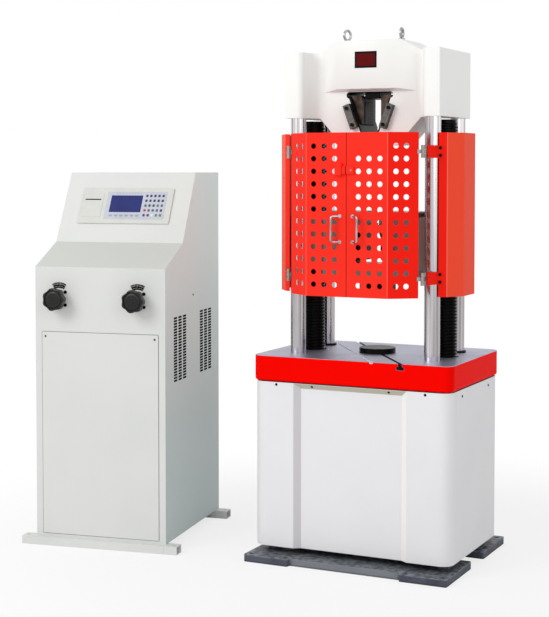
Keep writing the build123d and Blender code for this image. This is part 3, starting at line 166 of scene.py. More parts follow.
class Finish(Tree):
    """One material: its shader, and the patterns that feed it."""

    def __init__(self, name, constants):
        self.material = bpy.data.materials.new(name)
        self.material.use_nodes = True
        super().__init__(self.material.node_tree)
        self.shader = self.nodes["Principled BSDF"]
        for socket, value in constants.items():
            self.shader.inputs[socket].default_value = value
        self.place = self.node("ShaderNodeTexCoord", {}, {}, "Object")

    def axis(self, output):
        """X, Y or Z of the place on the piece."""
        return self.node("ShaderNodeSeparateXYZ", {}, {0: self.place}, output)

    def noise(self, scale, detail=2.0, stretch=(1, 1, 1)):
        """Noise from 0 to 1, with features about 1 / scale metres wide, stretched along the axes."""
        spread = self.node("ShaderNodeVectorMath", {"operation": "MULTIPLY"}, {0: self.place, 1: stretch})
        return self.node("ShaderNodeTexNoise", {}, {"Vector": spread, "Scale": scale, "Detail": detail})

    def step(self, value, low, high, start=0.0, end=1.0):
        """A smooth step of value from start at low to end at high."""
        settings = {"interpolation_type": "SMOOTHSTEP"}
        return self.node("ShaderNodeMapRange", settings, {0: value, 1: low, 2: high, 3: start, 4: end})

    def any_of(self, masks):
        """1 where a sum of masks is 1 or more, 0 where it is 0."""
        return self.step(masks, 0.2, 0.4)

    def blend(self, factor, first, second):
        """Colour first where factor is 0, second where it is 1."""
        return self.node("ShaderNodeMix", {"data_type": "RGBA"}, {0: factor, 6: first, 7: second}, 2)

    def relief(self, height, distance, strength=1.0, over=None):
        """A bump of that height in metres, over another bump if there is one."""
        inputs = {"Height": height, "Distance": distance, "Strength": strength}
        if over:
            inputs["Normal"] = over
        return self.node("ShaderNodeBump", {}, inputs)

    def feed(self, socket, value):
        """Link a value to the shader's socket, in place of what fed it before."""
        self.links.new(value.socket, self.shader.inputs[socket])

    def fed(self, socket):
        """The value that feeds the shader's socket now."""
        return Value(self, self.shader.inputs[socket].links[0].from_socket)


def enamel(name, colour, shade, rough, peel=0.00012, grain=380, shine=0.5):
    """Sprayed paint: the colour drifts a little towards its shade, with fine orange peel."""
    finish = Finish(name, {"Specular IOR Level": shine})
    drift = finish.step(finish.noise(2.6, 4.0), 0.35, 0.7)
    finish.feed("Base Color", finish.blend(drift * 0.5, colour, shade))
    finish.feed("Roughness", finish.noise(55, 3.0) * 0.14 + (rough - 0.07))
    finish.feed("Normal", finish.relief(finish.noise(grain, 2.0), peel))
    return finish


def metal(name, colour, dark, rough, stretch, scale, depth=0.00003, swing=0.5):
    """Bare metal with fine tool lines drawn out along an axis, and a cloudy change of tone."""
    finish = Finish(name, {"Metallic": 1.0})
    lines = finish.noise(scale, 3.0, stretch)
    clouds = finish.noise(9, 3.0)
    tone = finish.step(lines, 0.3, 0.7) * swing + finish.step(clouds, 0.35, 0.75) * 0.25
    finish.feed("Base Color", finish.blend(tone, colour, dark))
    finish.feed("Roughness", lines * 0.16 + clouds * 0.1 + (rough - 0.13))
    finish.feed("Normal", finish.relief(lines, depth))
    return finish


def moulded(name, colour, shade, rough, grain=900, depth=0.00006, shine=0.45):
    """Moulded plastic with a fine spark texture."""
    finish = Finish(name, {"Specular IOR Level": shine})
    spark = finish.noise(grain, 2.0)
    clouds = finish.noise(14, 3.0)
    finish.feed("Base Color", finish.blend(finish.step(clouds, 0.35, 0.75) * 0.6, colour, shade))
    finish.feed("Roughness", clouds * 0.12 + (rough - 0.06))
    finish.feed("Normal", finish.relief(spark, depth))
    return finish


def table_finish():
    """Red enamel on the sides, ground steel on top and inside the slot and the groove. Inside the slot the
    steel is darkened as painted shade, and the groove's floor is near white as a painted highlight. With
    the distance across, x cos t + y sin t, a place is in the T-slot within its 6 mm neck or its 12 mm wide
    head on each side, and in the shallow groove within 5 mm of its middle."""
    finish = enamel("red_table_and_ground_steel", paint(255, 6, 0), paint(246, 5, 0), 0.4, shine=0.015)
    red = finish.fed("Base Color")
    x, y, z = finish.axis("X"), finish.axis("Y"), finish.axis("Z")
    across = x * cos(SLOT_TURN) + y * sin(SLOT_TURN)
    middle = abs(across)
    head_top = (TABLE_TOP - SLOT_DROP + 0.2) * METRE
    in_slot = finish.any_of((middle < 0.0064) + (middle < 0.0124) * (z < head_top))
    in_slot = in_slot * (z > (SLOT_FLOOR - 0.5) * METRE)
    in_groove = (abs(across - GROOVE_ASIDE * METRE) < 0.0054) * (z > (TABLE_TOP - 6.5) * METRE)
    bare = finish.any_of(in_slot + in_groove + (z > (TABLE_TOP - 1.4) * METRE))
    ground = finish.noise(150, 3.0, (1, 14, 1))
    rings = finish.noise(7, 3.0)
    steel = finish.blend(finish.step(ground, 0.35, 0.65) * 0.7, paint(190, 190, 208), paint(142, 142, 160))
    steel = finish.blend(finish.step(rings, 0.4, 0.75) * 0.4, steel, paint(128, 130, 148))
    # painted shade: the steel inside the T-slot is darkened towards near black
    steel = finish.blend(in_slot * 0.6, steel, paint(60, 60, 66))
    # painted highlight: the groove's floor is near white and less metallic
    steel = finish.blend(in_groove, steel, paint(236, 238, 244))
    finish.feed("Base Color", finish.blend(bare, red, steel))
    finish.feed("Metallic", bare * 0.92 - in_groove * 0.5)
    finish.feed("Roughness", bare * 0.12 + finish.noise(60, 3.0) * 0.12 + 0.24)
    height = ground * bare + finish.noise(420, 2.0) * (1 - bare)
    finish.feed("Normal", finish.relief(height, 0.00006))
    return finish


def crosshead_finish(name, colour, shade, pocket):
    """Enamel outside, painted near black inside the jaw pocket as painted shade: within 99.5 mm of the middle,
    83.5 mm to front and back, and between the pocket's two heights."""
    finish = enamel(name, colour, shade, 0.34, 0.00001, 160)
    white = finish.fed("Base Color")
    x, y, z = finish.axis("X"), finish.axis("Y"), finish.axis("Z")
    low, high = (height * METRE for height in pocket)
    # painted shade: the jaw pocket's inner faces are painted near black
    pocket_shade = (abs(x) < 0.0995) * (abs(y) < 0.0835) * (z > low) * (z < high)
    finish.feed("Base Color", finish.blend(pocket_shade, white, paint(26, 24, 23)))
    return finish


def cabinet_finish():
    """White enamel. In the front's recess the sloping ledge at the top is painted beige as painted shade with
    a warm painted reflection, the left bevel is greyer with painted shade and the right one brighter with a
    painted highlight. Ledge and bevels meet in a mitre: a place is on the ledge where its share of the
    ledge's height is more than its share of the bevel's width."""
    finish = enamel("white_enamel", paint(238, 237, 239), paint(230, 229, 232), 0.34, 0.00001, 160)
    white = finish.fed("Base Color")
    x, y, z = finish.axis("X"), finish.axis("Y"), finish.axis("Z")
    edge = (RECESS_FLOOR_X + RECESS_BEVEL + 0.5) * METRE
    front = (0.2 - CABINET_HALF_Y) * METRE
    recess = (abs(x) < edge) * (y > front) * (y < -0.2)
    up = (z - LEDGE_LOW * METRE) * (1 / (LEDGE_TALL * METRE))
    out = (abs(x) - RECESS_FLOOR_X * METRE) * (1 / (RECESS_BEVEL * METRE))
    bevel = recess * (out > 0) * (out > up)
    # painted shade on the left bevel, painted highlight on the right one
    bevel_shade_and_highlight = finish.blend(bevel * (x < 0), white, paint(211, 208, 211))
    bevel_shade_and_highlight = finish.blend(bevel * (x > 0), bevel_shade_and_highlight, paint(252, 250, 246))
    # painted shade with a warm painted reflection on the ledge
    finish.feed("Base Color", finish.blend(recess * (up > 0) * (up > out), bevel_shade_and_highlight, paint(196, 190, 172)))
    return finish


def console_finish():
    """Powder coat, greyer on the sloping desk as painted shade, and on the right side a cool tint painted
    against the red light thrown on it from the guard, darker towards the floor as painted shade. The
    console is turned by t, so a place is x cos t + y sin t across and y cos t - x sin t back from the
    middle of its front."""
    finish = enamel("console_powder_coat", paint(224, 225, 222), paint(214, 216, 213), 0.42, 0.0001, 300)
    white = finish.fed("Base Color")
    x, y = finish.axis("X") - CONSOLE_X * METRE, finish.axis("Y") - CONSOLE_Y * METRE
    z = finish.axis("Z")
    across = x * cos(CONSOLE_TURN) + y * sin(CONSOLE_TURN)
    back = y * cos(CONSOLE_TURN) - x * sin(CONSOLE_TURN)
    edge = (CONSOLE_HALF - 0.5) * METRE
    low, high = (DESK_FRONT_Z - 0.5) * METRE, (DESK_REAR[1] + 0.5) * METRE
    desk = (abs(across) < edge) * (back < (DESK_REAR[0] + 0.5) * METRE) * (back > 0.001) * (z > low) * (z < high)
    # painted shade: the sloping desk is greyer than the front
    front = finish.blend(desk, white, paint(208, 211, 206))
    # painted light on the right side: a cool tint against red bounce light, with painted shade towards the floor
    side = finish.blend(finish.step(z, 0.4, 1.25), paint(197, 210, 208), paint(234, 249, 246))
    finish.feed("Base Color", finish.blend((across > edge) * (across < edge + 0.002), front, side))
    return finish


def guard_finish():
    """Red sheet enamel, with painted highlights along the press folds of doors and side panels, painted shade
    as a fuller red on the right flank, painted light past the side panels' fold, and darker along the doors'
    meeting edges."""
    finish = enamel("red_guard_enamel", paint(255, 52, 38), paint(250, 44, 32), 0.4, shine=0.04)
    red = finish.fed("Base Color")
    x = finish.axis("X")
    out = abs(x)
    door_fold, panel_fold = DOOR_FOLD_X * METRE, PANEL_FOLD_X * METRE
    # painted highlights along the folds of doors and side panels
    fold_highlight = (abs(out - door_fold) < 0.0011) + (abs(out - panel_fold) < 0.0013)
    # painted shade on the doors' right flank, painted light on the side panels past their fold
    right_flank_shade = finish.blend(x > door_fold, red, paint(255, 33, 20))
    side_panel_light = finish.blend(out > panel_fold, right_flank_shade, paint(255, 82, 56))
    with_fold_highlights = finish.blend(fold_highlight * 0.6, side_panel_light, paint(255, 138, 116))
    seam = (out < 0.0016) * (finish.axis("Y") < -0.295)
    finish.feed("Base Color", finish.blend(seam * 0.75, with_fold_highlights, paint(128, 14, 8)))
    return finish


def cast_finish():
    """Slate machine enamel on cast iron: a sandy skin, dark and blotched on top where feet and oil reach
    it, paler on the sides, most of all between the pads where the paleness is a painted reflection, with a
    paler line in patches along the upper edges, and darker towards the floor as painted shade."""
    finish = Finish("slate_casting", {"Specular IOR Level": 0.4})
    z = finish.axis("Z")
    clouds = finish.noise(11, 5.0)
    sand = finish.noise(260, 3.0)
    blots = finish.noise(48, 6.0, (1, 1, 3))
    top = finish.step(z, (BASE_THICK - 1.5) * METRE, (BASE_THICK - 0.2) * METRE)
    inner = PAD_INNER_X * METRE
    middle = finish.step(abs(finish.axis("X")), inner - 0.016, inner + 0.004, 1.0, 0.0)
    side = finish.blend(finish.step(clouds, 0.35, 0.7), paint(80, 84, 97), paint(58, 62, 74))
    # painted reflection: paler on the sides between the pads
    side = finish.blend(middle * 0.7, side, paint(136, 138, 146))
    flat = finish.blend(finish.step(blots, 0.4, 0.62), paint(80, 84, 90), paint(126, 130, 137))
    base = finish.blend(top, side, flat)
    # a paler line, in patches, along the upper edges
    rim = finish.step(z, (BASE_THICK - 4.2) * METRE, (BASE_THICK - 2.4) * METRE)
    pale_rim = rim * (1 - top) * finish.step(blots, 0.36, 0.5)
    base = finish.blend(pale_rim * 0.7, base, paint(136, 138, 146))
    # painted shade: darker towards the floor
    low = finish.step(z, 0.0, 0.009, 1.0, 0.0)
    finish.feed("Base Color", finish.blend(low * 0.6, base, paint(36, 37, 42)))
    finish.feed("Roughness", sand * 0.2 + 0.42)
    rough = finish.relief(sand, 0.0006)
    finish.feed("Normal", finish.relief(blots, 0.0012, 0.7, rough))
    return finish


def column_finish():
    """Hard chrome on ground bar: narrow bright and dark lines that run the length of each column,
    painted reflections in the chrome.
    """
    finish = Finish("chromed_columns", {"Metallic": 1.0})
    lines = finish.noise(330, 2.0, (1, 1, 0.004))
    broad = finish.noise(70, 2.0, (1, 1, 0.01))
    # painted reflections: the bright and dark streaks along the columns
    tone = finish.step(lines, 0.36, 0.62) * 0.55 + finish.step(broad, 0.4, 0.62) * 0.5
    finish.feed("Base Color", finish.blend(tone, paint(246, 242, 244), paint(166, 158, 161)))
    finish.feed("Roughness", lines * 0.12 + finish.noise(24, 3.0) * 0.06 + 0.09)
    finish.feed("Normal", finish.relief(lines, 0.00002))
    return finish


def plate_finish():
    """Blank name plate: a black anodised border round a dark red field with fine vertical brushing."""
    finish = Finish("blank_name_plate", {"Specular IOR Level": 0.06})
    x, z = finish.axis("X"), finish.axis("Z")
    field = (abs(x - PLATE_X * METRE) < 0.036) * (abs(z - PLATE_Z * METRE) < 0.023)
    brush = finish.noise(500, 2.0, (8, 1, 1))
    red = finish.blend(brush, paint(112, 4, 6), paint(74, 2, 3))
    finish.feed("Base Color", finish.blend(field, paint(16, 12, 13), red))
    finish.feed("Roughness", brush * 0.2 + 0.3)
    finish.feed("Normal", finish.relief(brush, 0.00003))
    return finish


def jaw_finish():
    """Browned carriers with black toothed inserts: an insert is within 37.5 mm of the grips' middle
    plane and 41.5 mm to either side of it."""
    finish = Finish("browned_jaws_with_black_inserts", {"Metallic": 1.0})
    lines = finish.noise(120, 3.0, (1, 1, 0.3))
    clouds = finish.noise(30, 4.0)
    insert = (abs(finish.axis("X")) < 0.0375) * (abs(finish.axis("Y")) < 0.0415)
    brown = finish.blend(finish.step(clouds, 0.35, 0.7), paint(84, 70, 62), paint(48, 40, 36))
    finish.feed("Base Color", finish.blend(insert, brown, paint(9, 9, 9)))
    finish.feed("Roughness", lines * 0.2 + clouds * 0.1 + 0.3)
    finish.feed("Normal", finish.relief(lines, 0.00008))
    return finish


WHITE = cabinet_finish()
HEAD_WHITE = crosshead_finish("head_white_enamel", paint(251, 251, 248), paint(246, 246, 243), HEAD_POCKET)
# The middle crosshead is white like the upper one, painted grey here as painted shade for its place behind the guard
MIDDLE_HEAD_SHADE = crosshead_finish(
    "middle_head_painted_shade", paint(152, 146, 140), paint(138, 132, 126),
    [2 * MIRROR_Z - height for height in reversed(HEAD_POCKET)],
)
CONSOLE_WHITE = console_finish()
RED = guard_finish()
TABLE = table_finish()
CASTING = cast_finish()
COLUMN = column_finish()
PLATE = plate_finish()
# Chrome: fine tool lines along an axis, their strong swing to a dark tone a painted reflection
CHROME = metal("bright_chrome", paint(212, 212, 214), paint(84, 84, 88), 0.18, (1, 1, 0.2), 90)
ZINC = metal("zinc_plate", paint(178, 176, 170), paint(112, 110, 108), 0.34, (1, 1, 0.15), 300)
MACHINED = metal("turned_steel", paint(176, 178, 184), paint(120, 122, 128), 0.34, (0.2, 0.2, 6), 260)
BLACKED = metal("blacked_steel", paint(30, 29, 30), paint(14, 14, 15), 0.42, (1, 1, 0.3), 200, 0.00006)
SCREW = metal("oiled_black_thread", paint(26, 25, 25), paint(10, 10, 10), 0.3, (0.3, 0.3, 1), 160, 0.00003)
JAW = jaw_finish()
# Dark steel liners, darkened further as painted shade inside the grip pocket
LINER = metal("dark_liners_painted_shade", paint(40, 38, 36), paint(18, 17, 17), 0.42, (1, 1, 0.3), 140, 0.00006)
PHOSPHATE = metal("phosphated_steel", paint(108, 105, 102), paint(60, 58, 57), 0.5, (1, 1, 0.4), 180, 0.00006)
BRONZE = metal("cast_bronze", paint(176, 132, 74), paint(120, 84, 44), 0.4, (0.3, 0.3, 3), 200)
BLACK_PLASTIC = moulded("black_moulding", paint(24, 24, 22), paint(13, 13, 12), 0.3, shine=0.4)
BEZEL = moulded("pale_grey_moulding", paint(216, 217, 211), paint(206, 207, 202), 0.45)
FILM = moulded("blue_grey_film", paint(198, 201, 212), paint(184, 188, 204), 0.34, 1500, 0.00003)
GLASS = moulded("blue_display", paint(44, 52, 116), paint(32, 38, 98), 0.3, 1500, 0.00001, 0.15)
DARK = moulded("shadowed_slot", paint(13, 13, 14), paint(6, 6, 7), 0.7, shine=0.1)
SEAL = moulded("grey_seal", paint(120, 120, 122), paint(96, 96, 98), 0.6)
MARKS = moulded("white_marks", paint(228, 228, 226), paint(206, 206, 204), 0.5)
NAVY = moulded("navy_keys", paint(44, 44, 88), paint(32, 32, 68), 0.36)
RED_KEY = moulded("red_key", paint(196, 38, 40), paint(164, 28, 30), 0.36)
GREEN_KEY = moulded("green_key", paint(40, 136, 84), paint(30, 110, 66), 0.36)
TEAL_KEY = moulded("teal_key", paint(70, 92, 104), paint(58, 80, 94), 0.36)
WHITE_KEY = moulded("white_key", paint(236, 232, 234), paint(222, 218, 222), 0.36)
SOFT_KEY = moulded("soft_key", paint(160, 164, 182), paint(146, 150, 170), 0.4)

NODE_FINISH = {
    "red_paint": RED, "white_paint": WHITE, "base_paint": CASTING, "machined_steel": MACHINED,
    "polished_steel": CHROME, "zinc_steel": ZINC, "blackened_steel": BLACKED, "grey_steel": PHOSPHATE,
    "bronze": BRONZE, "plate_face": PLATE, "bezel_plastic": BEZEL, "keypad_film": FILM,
    "screen_face": GLASS, "black_plastic": BLACK_PLASTIC,
}
SLOT_OF = {part["node"]: part["material_slot"] for part in frame["record"]["subparts"]}
SPECIAL = {
    "work_table": TABLE, "columns": COLUMN, "upper_crosshead": HEAD_WHITE, "middle_crosshead": MIDDLE_HEAD_SHADE,
    "console_cabinet": CONSOLE_WHITE, "console_rails": CONSOLE_WHITE, "console_door": CONSOLE_WHITE,
    "upper_jaw_left": JAW, "upper_jaw_right": JAW, "lower_jaw_left": JAW, "lower_jaw_right": JAW,
    "upper_grip_liners": LINER, "lower_grip_liners": LINER,
}


def finish_of(node):
    """The finish of a node: its own, or else its material slot's."""
    return SPECIAL.get(node, NODE_FINISH[SLOT_OF[node]])


for node_name, node_object in frame["nodes"].items():
    node_object.data.materials.clear()
    node_object.data.materials.append(finish_of(node_name).material)


# Meshes

def quads(rows, columns, closed=True):
    """Faces of a grid of points: each point with the next in its row and both below, the row closed or not."""
    row = np.arange(rows - 1)[:, None] * columns
    column = np.arange(columns if closed else columns - 1)[None, :]
    after = (column + 1) % columns
    return np.stack([row + column, row + after, row + columns + after, row + columns + column], -1).reshape(-1, 4)


def piece(name, points, faces, body, finish, slot, angle=35):
    """A mesh object of these points in mm, welded, facing outwards, riding on its body."""
    mesh = bpy.data.meshes.new(name)
    mesh.from_pydata((np.asarray(points) * METRE).tolist(), [], [list(face) for face in faces])
    work = bmesh.new()
    work.from_mesh(mesh)
    bmesh.ops.remove_doubles(work, verts=work.verts, dist=1e-7)
    bmesh.ops.recalc_face_normals(work, faces=work.faces)
    work.to_mesh(mesh)
    work.free()
    mesh.shade_smooth()
    mesh.set_sharp_from_angle(angle=radians(angle))
    made = bpy.data.objects.new(name, mesh)
    bpy.context.scene.collection.objects.link(made)
    mesh.materials.append(finish.material)
    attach(made, body)
    return made


def softened(name, node, width, steps=3, angle=32):
    """The node's own shape and finish, with every edge sharper than the angle rounded by width in mm."""
    source = frame["nodes"][node]
    mesh = source.data.copy()
    mesh.name = name
    work = bmesh.new()
    work.from_mesh(mesh)
    bmesh.ops.remove_doubles(work, verts=work.verts, dist=1e-6)
    bmesh.ops.dissolve_limit(work, angle_limit=radians(1), verts=work.verts, edges=work.edges)
    work.to_mesh(mesh)
    work.free()
    mesh.shade_smooth()
    mesh.set_sharp_from_angle(angle=radians(angle))
    made = bpy.data.objects.new(name, mesh)
    bpy.context.scene.collection.objects.link(made)
    rounding = made.modifiers.new("edges", "BEVEL")
    rounding.width = width * METRE
    rounding.segments = steps
    rounding.limit_method = "ANGLE"
    rounding.angle_limit = radians(angle)
    rounding.harden_normals = True
    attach(made, source["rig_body"])
    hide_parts(node)


def turned(profile, count):
    """Points of a profile of (radius, height) carried round the Z axis in count steps, and their faces."""
    radius, height = np.array(profile, float).T
    turn = np.linspace(0, 2 * pi, count, endpoint=False)
    points = np.stack(
        [radius[:, None] * np.cos(turn), radius[:, None] * np.sin(turn), height[:, None] + 0 * turn], -1
    )
    return points.reshape(-1, 3), quads(len(profile), count)


def repeated(shape, places):
    """The points and faces of a shape at each place, where a place is (origin, x axis, y axis)."""
    points, faces = shape
    all_points, all_faces = [], []
    for origin, across, along in places:
        across, along = np.array(across, float), np.array(along, float)
        axes = np.stack([across, along, np.cross(across, along)])
        all_points.append(points @ axes + np.array(origin, float))
        all_faces.append(faces + len(points) * len(all_faces))
    return np.concatenate(all_points), np.concatenate(all_faces)


def copies(name, shape, places, body, finish, slot):
    """One piece that holds the shape at each place."""
    piece(name, *repeated(shape, places), body, finish, slot)


def stacked(rings):
    """Points of flat rings, each a pair of outline and height, and the faces between one and the next."""
    points = np.concatenate([np.column_stack([ring, np.full(len(ring), height)]) for ring, height in rings])
    return points, quads(len(rings), len(rings[0][0]))


def slab(outline, high, edge):
    """A flat plate with this outline from 0 to high, its top edge eased by edge towards its middle.
    Rings at 0, high - edge and high, the last drawn in, and both ends closed at the middle point."""
    middle = outline.mean(0)
    inward = (middle - outline) / np.linalg.norm(middle - outline, axis=1)[:, None]
    return stacked([
        (middle + 0 * outline, 0.0), (outline, 0.0), (outline, high - edge),
        (outline + inward * edge, high), (middle + 0 * outline, high),
    ])


def round_box(half_x, half_y, corner, count=4):
    """Outline of a rectangle with round corners."""
    turn = np.linspace(0, pi / 2, count + 1)
    parts = []
    for quarter, (sx, sy) in enumerate(((1, 1), (-1, 1), (-1, -1), (1, -1))):
        angle = turn + quarter * pi / 2
        middle = np.array([sx * (half_x - corner), sy * (half_y - corner)])
        parts.append(middle + corner * np.column_stack([np.cos(angle), np.sin(angle)]))
    return np.concatenate(parts)


def spot(x, y, z):
    """A point of the console's own frame, x across and y back, in the machine's frame."""
    return (
        CONSOLE_X + x * cos(CONSOLE_TURN) - y * sin(CONSOLE_TURN),
        CONSOLE_Y + x * sin(CONSOLE_TURN) + y * cos(CONSOLE_TURN),
        z,
    )


def heading(x, y, z):
    """A direction of the console's own frame, in the machine's frame."""
    return (x * cos(CONSOLE_TURN) - y * sin(CONSOLE_TURN), x * sin(CONSOLE_TURN) + y * cos(CONSOLE_TURN), z)


PANEL_LONG = hypot(PANEL_TOP[0] - DESK_REAR[0], PANEL_TOP[1] - DESK_REAR[1])
PANEL_UP = ((PANEL_TOP[0] - DESK_REAR[0]) / PANEL_LONG, (PANEL_TOP[1] - DESK_REAR[1]) / PANEL_LONG)


def on_panel(x, s, lift):
    """A place on the sloping panel: x across, s up the slope, lift off its surface."""
    back, up = PANEL_UP
    origin = spot(x, DESK_REAR[0] + s * back - lift * up, DESK_REAR[1] + s * up + lift * back)
    return origin, heading(1, 0, 0), heading(0, back, up)


def on_front(x, z, lift=0.0):
    """A place on the console's front sheet."""
    return spot(x, -lift, z), heading(1, 0, 0), (0, 0, 1)


def on_side(side, y, z):
    """A place on the console's right (1) or left (-1) side sheet."""
    return spot(side * CONSOLE_HALF, y, z), heading(0, side, 0), (0, 0, 1)


def screw_head(size):
    """A domed head with a socket. At size 1 it is 11.6 wide and 2.5 high."""
    profile = [(0, 1.2), (1.9, 1.2), (1.9, 2.3), (2.9, 2.5), (4.3, 2.1), (5.4, 1.1), (5.8, 0.0), (0, 0.0)]
    return turned([(size * radius, size * height) for radius, height in profile], 20)


def lead_screw(name, node, x):
    """Threaded spindle. Row k of the thread is a helix of radius crest or root, at the height thread_low +
    pitch (k / 4 + turn / 2 pi), so after one turn row k meets row k + 4. Plain rings close both ends."""
    pitch, crest, root, journal = 12.0, 46.0, 41.0, 30.0
    low, journal_top, thread_low, top, chamfer = 35.0, 130.0, 131.0, 1627.0, 3.0
    turns, count = 123, 56
    rows = 4 * turns + 1
    turn = np.linspace(0, 2 * pi, count, endpoint=False)
    share = np.array([0.0, 0.16, 0.5, 0.66])
    k = np.arange(rows)
    height = thread_low + pitch * (k // 4 + share[k % 4])[:, None] + pitch * turn / (2 * pi)
    radius = np.array([root, crest, crest, root])[k % 4][:, None] + 0 * turn
    plain_low = [(0, low), (journal, low), (journal, journal_top), (root, journal_top)]
    plain_high = [(root, height.max() + 1), (root, top - chamfer), (root - chamfer, top), (0, top)]
    rings = [[np.full(count, r), np.full(count, z)] for r, z in plain_low]
    rings += [[radius[i], height[i]] for i in range(rows)]
    rings += [[np.full(count, r), np.full(count, z)] for r, z in plain_high]
    ring = np.array(rings)
    points = np.stack([ring[:, 0] * np.cos(turn) + x, ring[:, 0] * np.sin(turn), ring[:, 1]], -1).reshape(-1, 3)
    total = len(ring)
    grid = quads(total, count).reshape(total - 1, count, 4)
    first, last = len(plain_low), len(plain_low) + rows - 1
    body = grid[:, :-1].reshape(-1, 4)

    # At the seam plain rings close on themselves, thread rows on those a turn up, and a face fills each end
    seam_plain = np.concatenate([grid[: first - 1, -1], grid[last + 1:, -1]])
    row = np.arange(first, last - 3)
    end, start = row * count + count - 1, (row + 4) * count
    seam_thread = np.stack([end[:-1], start[:-1], start[1:], end[1:]], -1)
    start_face = [(first - 1) * count + count - 1, (first - 1) * count]
    start_face += [(first + i) * count for i in range(5)] + [first * count + count - 1]
    end_face = [(last - 4 + i) * count + count - 1 for i in range(6)] + [(last + 1) * count, last * count]
    faces = np.concatenate([body, seam_plain, seam_thread]).tolist() + [start_face, end_face]
    made = piece(name, points, faces, node, SCREW, "blackened_steel", 28)
    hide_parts(node)


for side, sign in (("left", -1), ("right", 1)):
    lead_screw(f"{side}_threaded_spindle", f"{side}_screw", sign * COLUMN_X)

# Rounded edges: how wide, on the pieces whose solids are sharp
EDGE_WIDTHS = {
    "base_plate": 3.0, "upper_crosshead": 5.0, "middle_crosshead": 4.0, "upper_grip_strips": 2.0,
    "lower_grip_strips": 2.0, "upper_grip_bar": 1.5, "console_rails": 2.0, "screw_gearmotors": 3.0,
    "interlock_actuator": 1.5, "name_plate": 0.4, "display_bezel": 2.0, "console_door": 0.6,
}
for node, width in EDGE_WIDTHS.items():
    softened(f"{node}_edges", node, width)

# Collars round the rear columns' feet: a chamfered ring, from the column out to its rim
bore, rim = COLUMN_R + 0.1, COLUMN_R + 7
collar = [(bore, 0.0), (rim, 0.0), (rim, 6.0), (rim - 1.5, 7.6), (bore + 1.4, 7.6), (bore, 6.6), (bore, 0.0)]
places = [((side * COLUMN_X, COLUMN_Y, TABLE_TOP), (1, 0, 0), (0, 1, 0)) for side in (-1, 1)]
copies("column_collars", turned(collar, 64), places, "working_frame", BLACKED, "blackened_steel")

# Screws of the cabinet covers: two on the plain fronts, two on the recess's ledge, four behind, two on each side
up = (0, 0, 1)
ledge_up = (0, -0.667, 0.745)
places = [((x, -CABINET_HALF_Y, 655.0), (1, 0, 0), up) for x in (-290, 290)]
places += [((x, -264.5, 653.5), (1, 0, 0), ledge_up) for x in (-150, 150)]
places += [((x, CABINET_HALF_Y, 640.0), (-1, 0, 0), up) for x in (-290, -95, 95, 290)]
places += [((side * CABINET_HALF_X, y, 640.0), (0, side, 0), up) for side in (-1, 1) for y in (-150, 150)]
copies("cabinet_cover_screws", screw_head(0.85), places, "frame_base", BLACKED, "blackened_steel")

# Screws of the console: two on the door, one on each side
places = [on_front(x, 806, DOOR_THICK) for x in (-224, 224)]
places += [on_side(side, 311, 952) for side in (-1, 1)]
copies("console_screws", screw_head(0.75), places, "frame_base", PHOSPHATE, "zinc_steel")

# Seal round the console's door: a flat dark ring in the corner of door and sheet
outer = round_box(DOOR_HALF_X + 1.8, DOOR_HALF_Z + 1.8, 4)
inner = round_box(DOOR_HALF_X - 0.6, DOOR_HALF_Z - 0.6, 2)
seal = stacked([(outer, 0.0), (outer, 0.5), (inner, 0.5), (inner, 0.0), (outer, 0.0)])
copies("door_seal", seal, [on_front(0, DOOR_Z)], "frame_base", SEAL, "black_plastic")

# Vents in the console's sides: rows of short round-ended slots 36 by 7, each a dark pocket with a floor and
# a pressed rim 0.6 wide, the dark being the painted shade of a deep slot
VENT_MIDDLES = (160, 458)
VENT_COLUMNS = (-50, 0, 50)
VENT_ROWS = 23
VENT_PITCH = 10.9
VENT_LOW = 638
outer, middle, inner = (round_box(18 + rim, 3.3 + rim, 3.2 + rim) for rim in (0.6, 0.3, 0.0))
vent = stacked([(outer, 0.0), (middle, 0.6), (inner, 0.45), (inner, 0.1), (0 * inner, 0.1)])
places = [
    on_side(side, y + column, VENT_LOW + VENT_PITCH * row)
    for side in (-1, 1) for y in VENT_MIDDLES for column in VENT_COLUMNS for row in range(VENT_ROWS)
]
copies("console_vents", vent, places, "frame_base", DARK, "black_plastic")

# Keys to the right of the display, a letter for each one's colour
KEY_ROWS = ("nnnnn", "nnnnn", "tnngt", "rtttn", "nnwgg")
KEY_KINDS = {
    "n": ("navy_keys", NAVY), "r": ("red_keys", RED_KEY), "g": ("green_keys", GREEN_KEY),
    "t": ("teal_keys", TEAL_KEY), "w": ("white_keys", WHITE_KEY),
}
KEY_FIRST = (85, 203)
KEY_STEP = (17.2, 21.5)
FILM_FACE = BEZEL_THICK + FILM_THICK
key = slab(round_box(4.4, 5.0, 1.4, 3), 1.5, 0.5)
for letter, (name, finish) in KEY_KINDS.items():
    places = [
        on_panel(KEY_FIRST[0] + KEY_STEP[0] * column, KEY_FIRST[1] - KEY_STEP[1] * row, FILM_FACE)
        for row, letters in enumerate(KEY_ROWS) for column, found in enumerate(letters) if found == letter
    ]
    copies(name, key, places, "frame_base", finish, "keypad_film")

# Pale keys in a row under the display and pale lamps over it
places = [on_panel(-56 + 22.5 * i, 115, FILM_FACE) for i in range(6)]
copies("soft_keys", slab(round_box(7, 4, 1.6, 3), 0.8, 0.3), places, "frame_base", SOFT_KEY, "keypad_film")
places = [on_panel(-44 + 13 * i, 214, FILM_FACE) for i in range(9)]
copies("status_lamps", slab(round_box(1.8, 1.8, 1.2, 3), 0.5, 0.2), places, "frame_base", SOFT_KEY, "keypad_film")

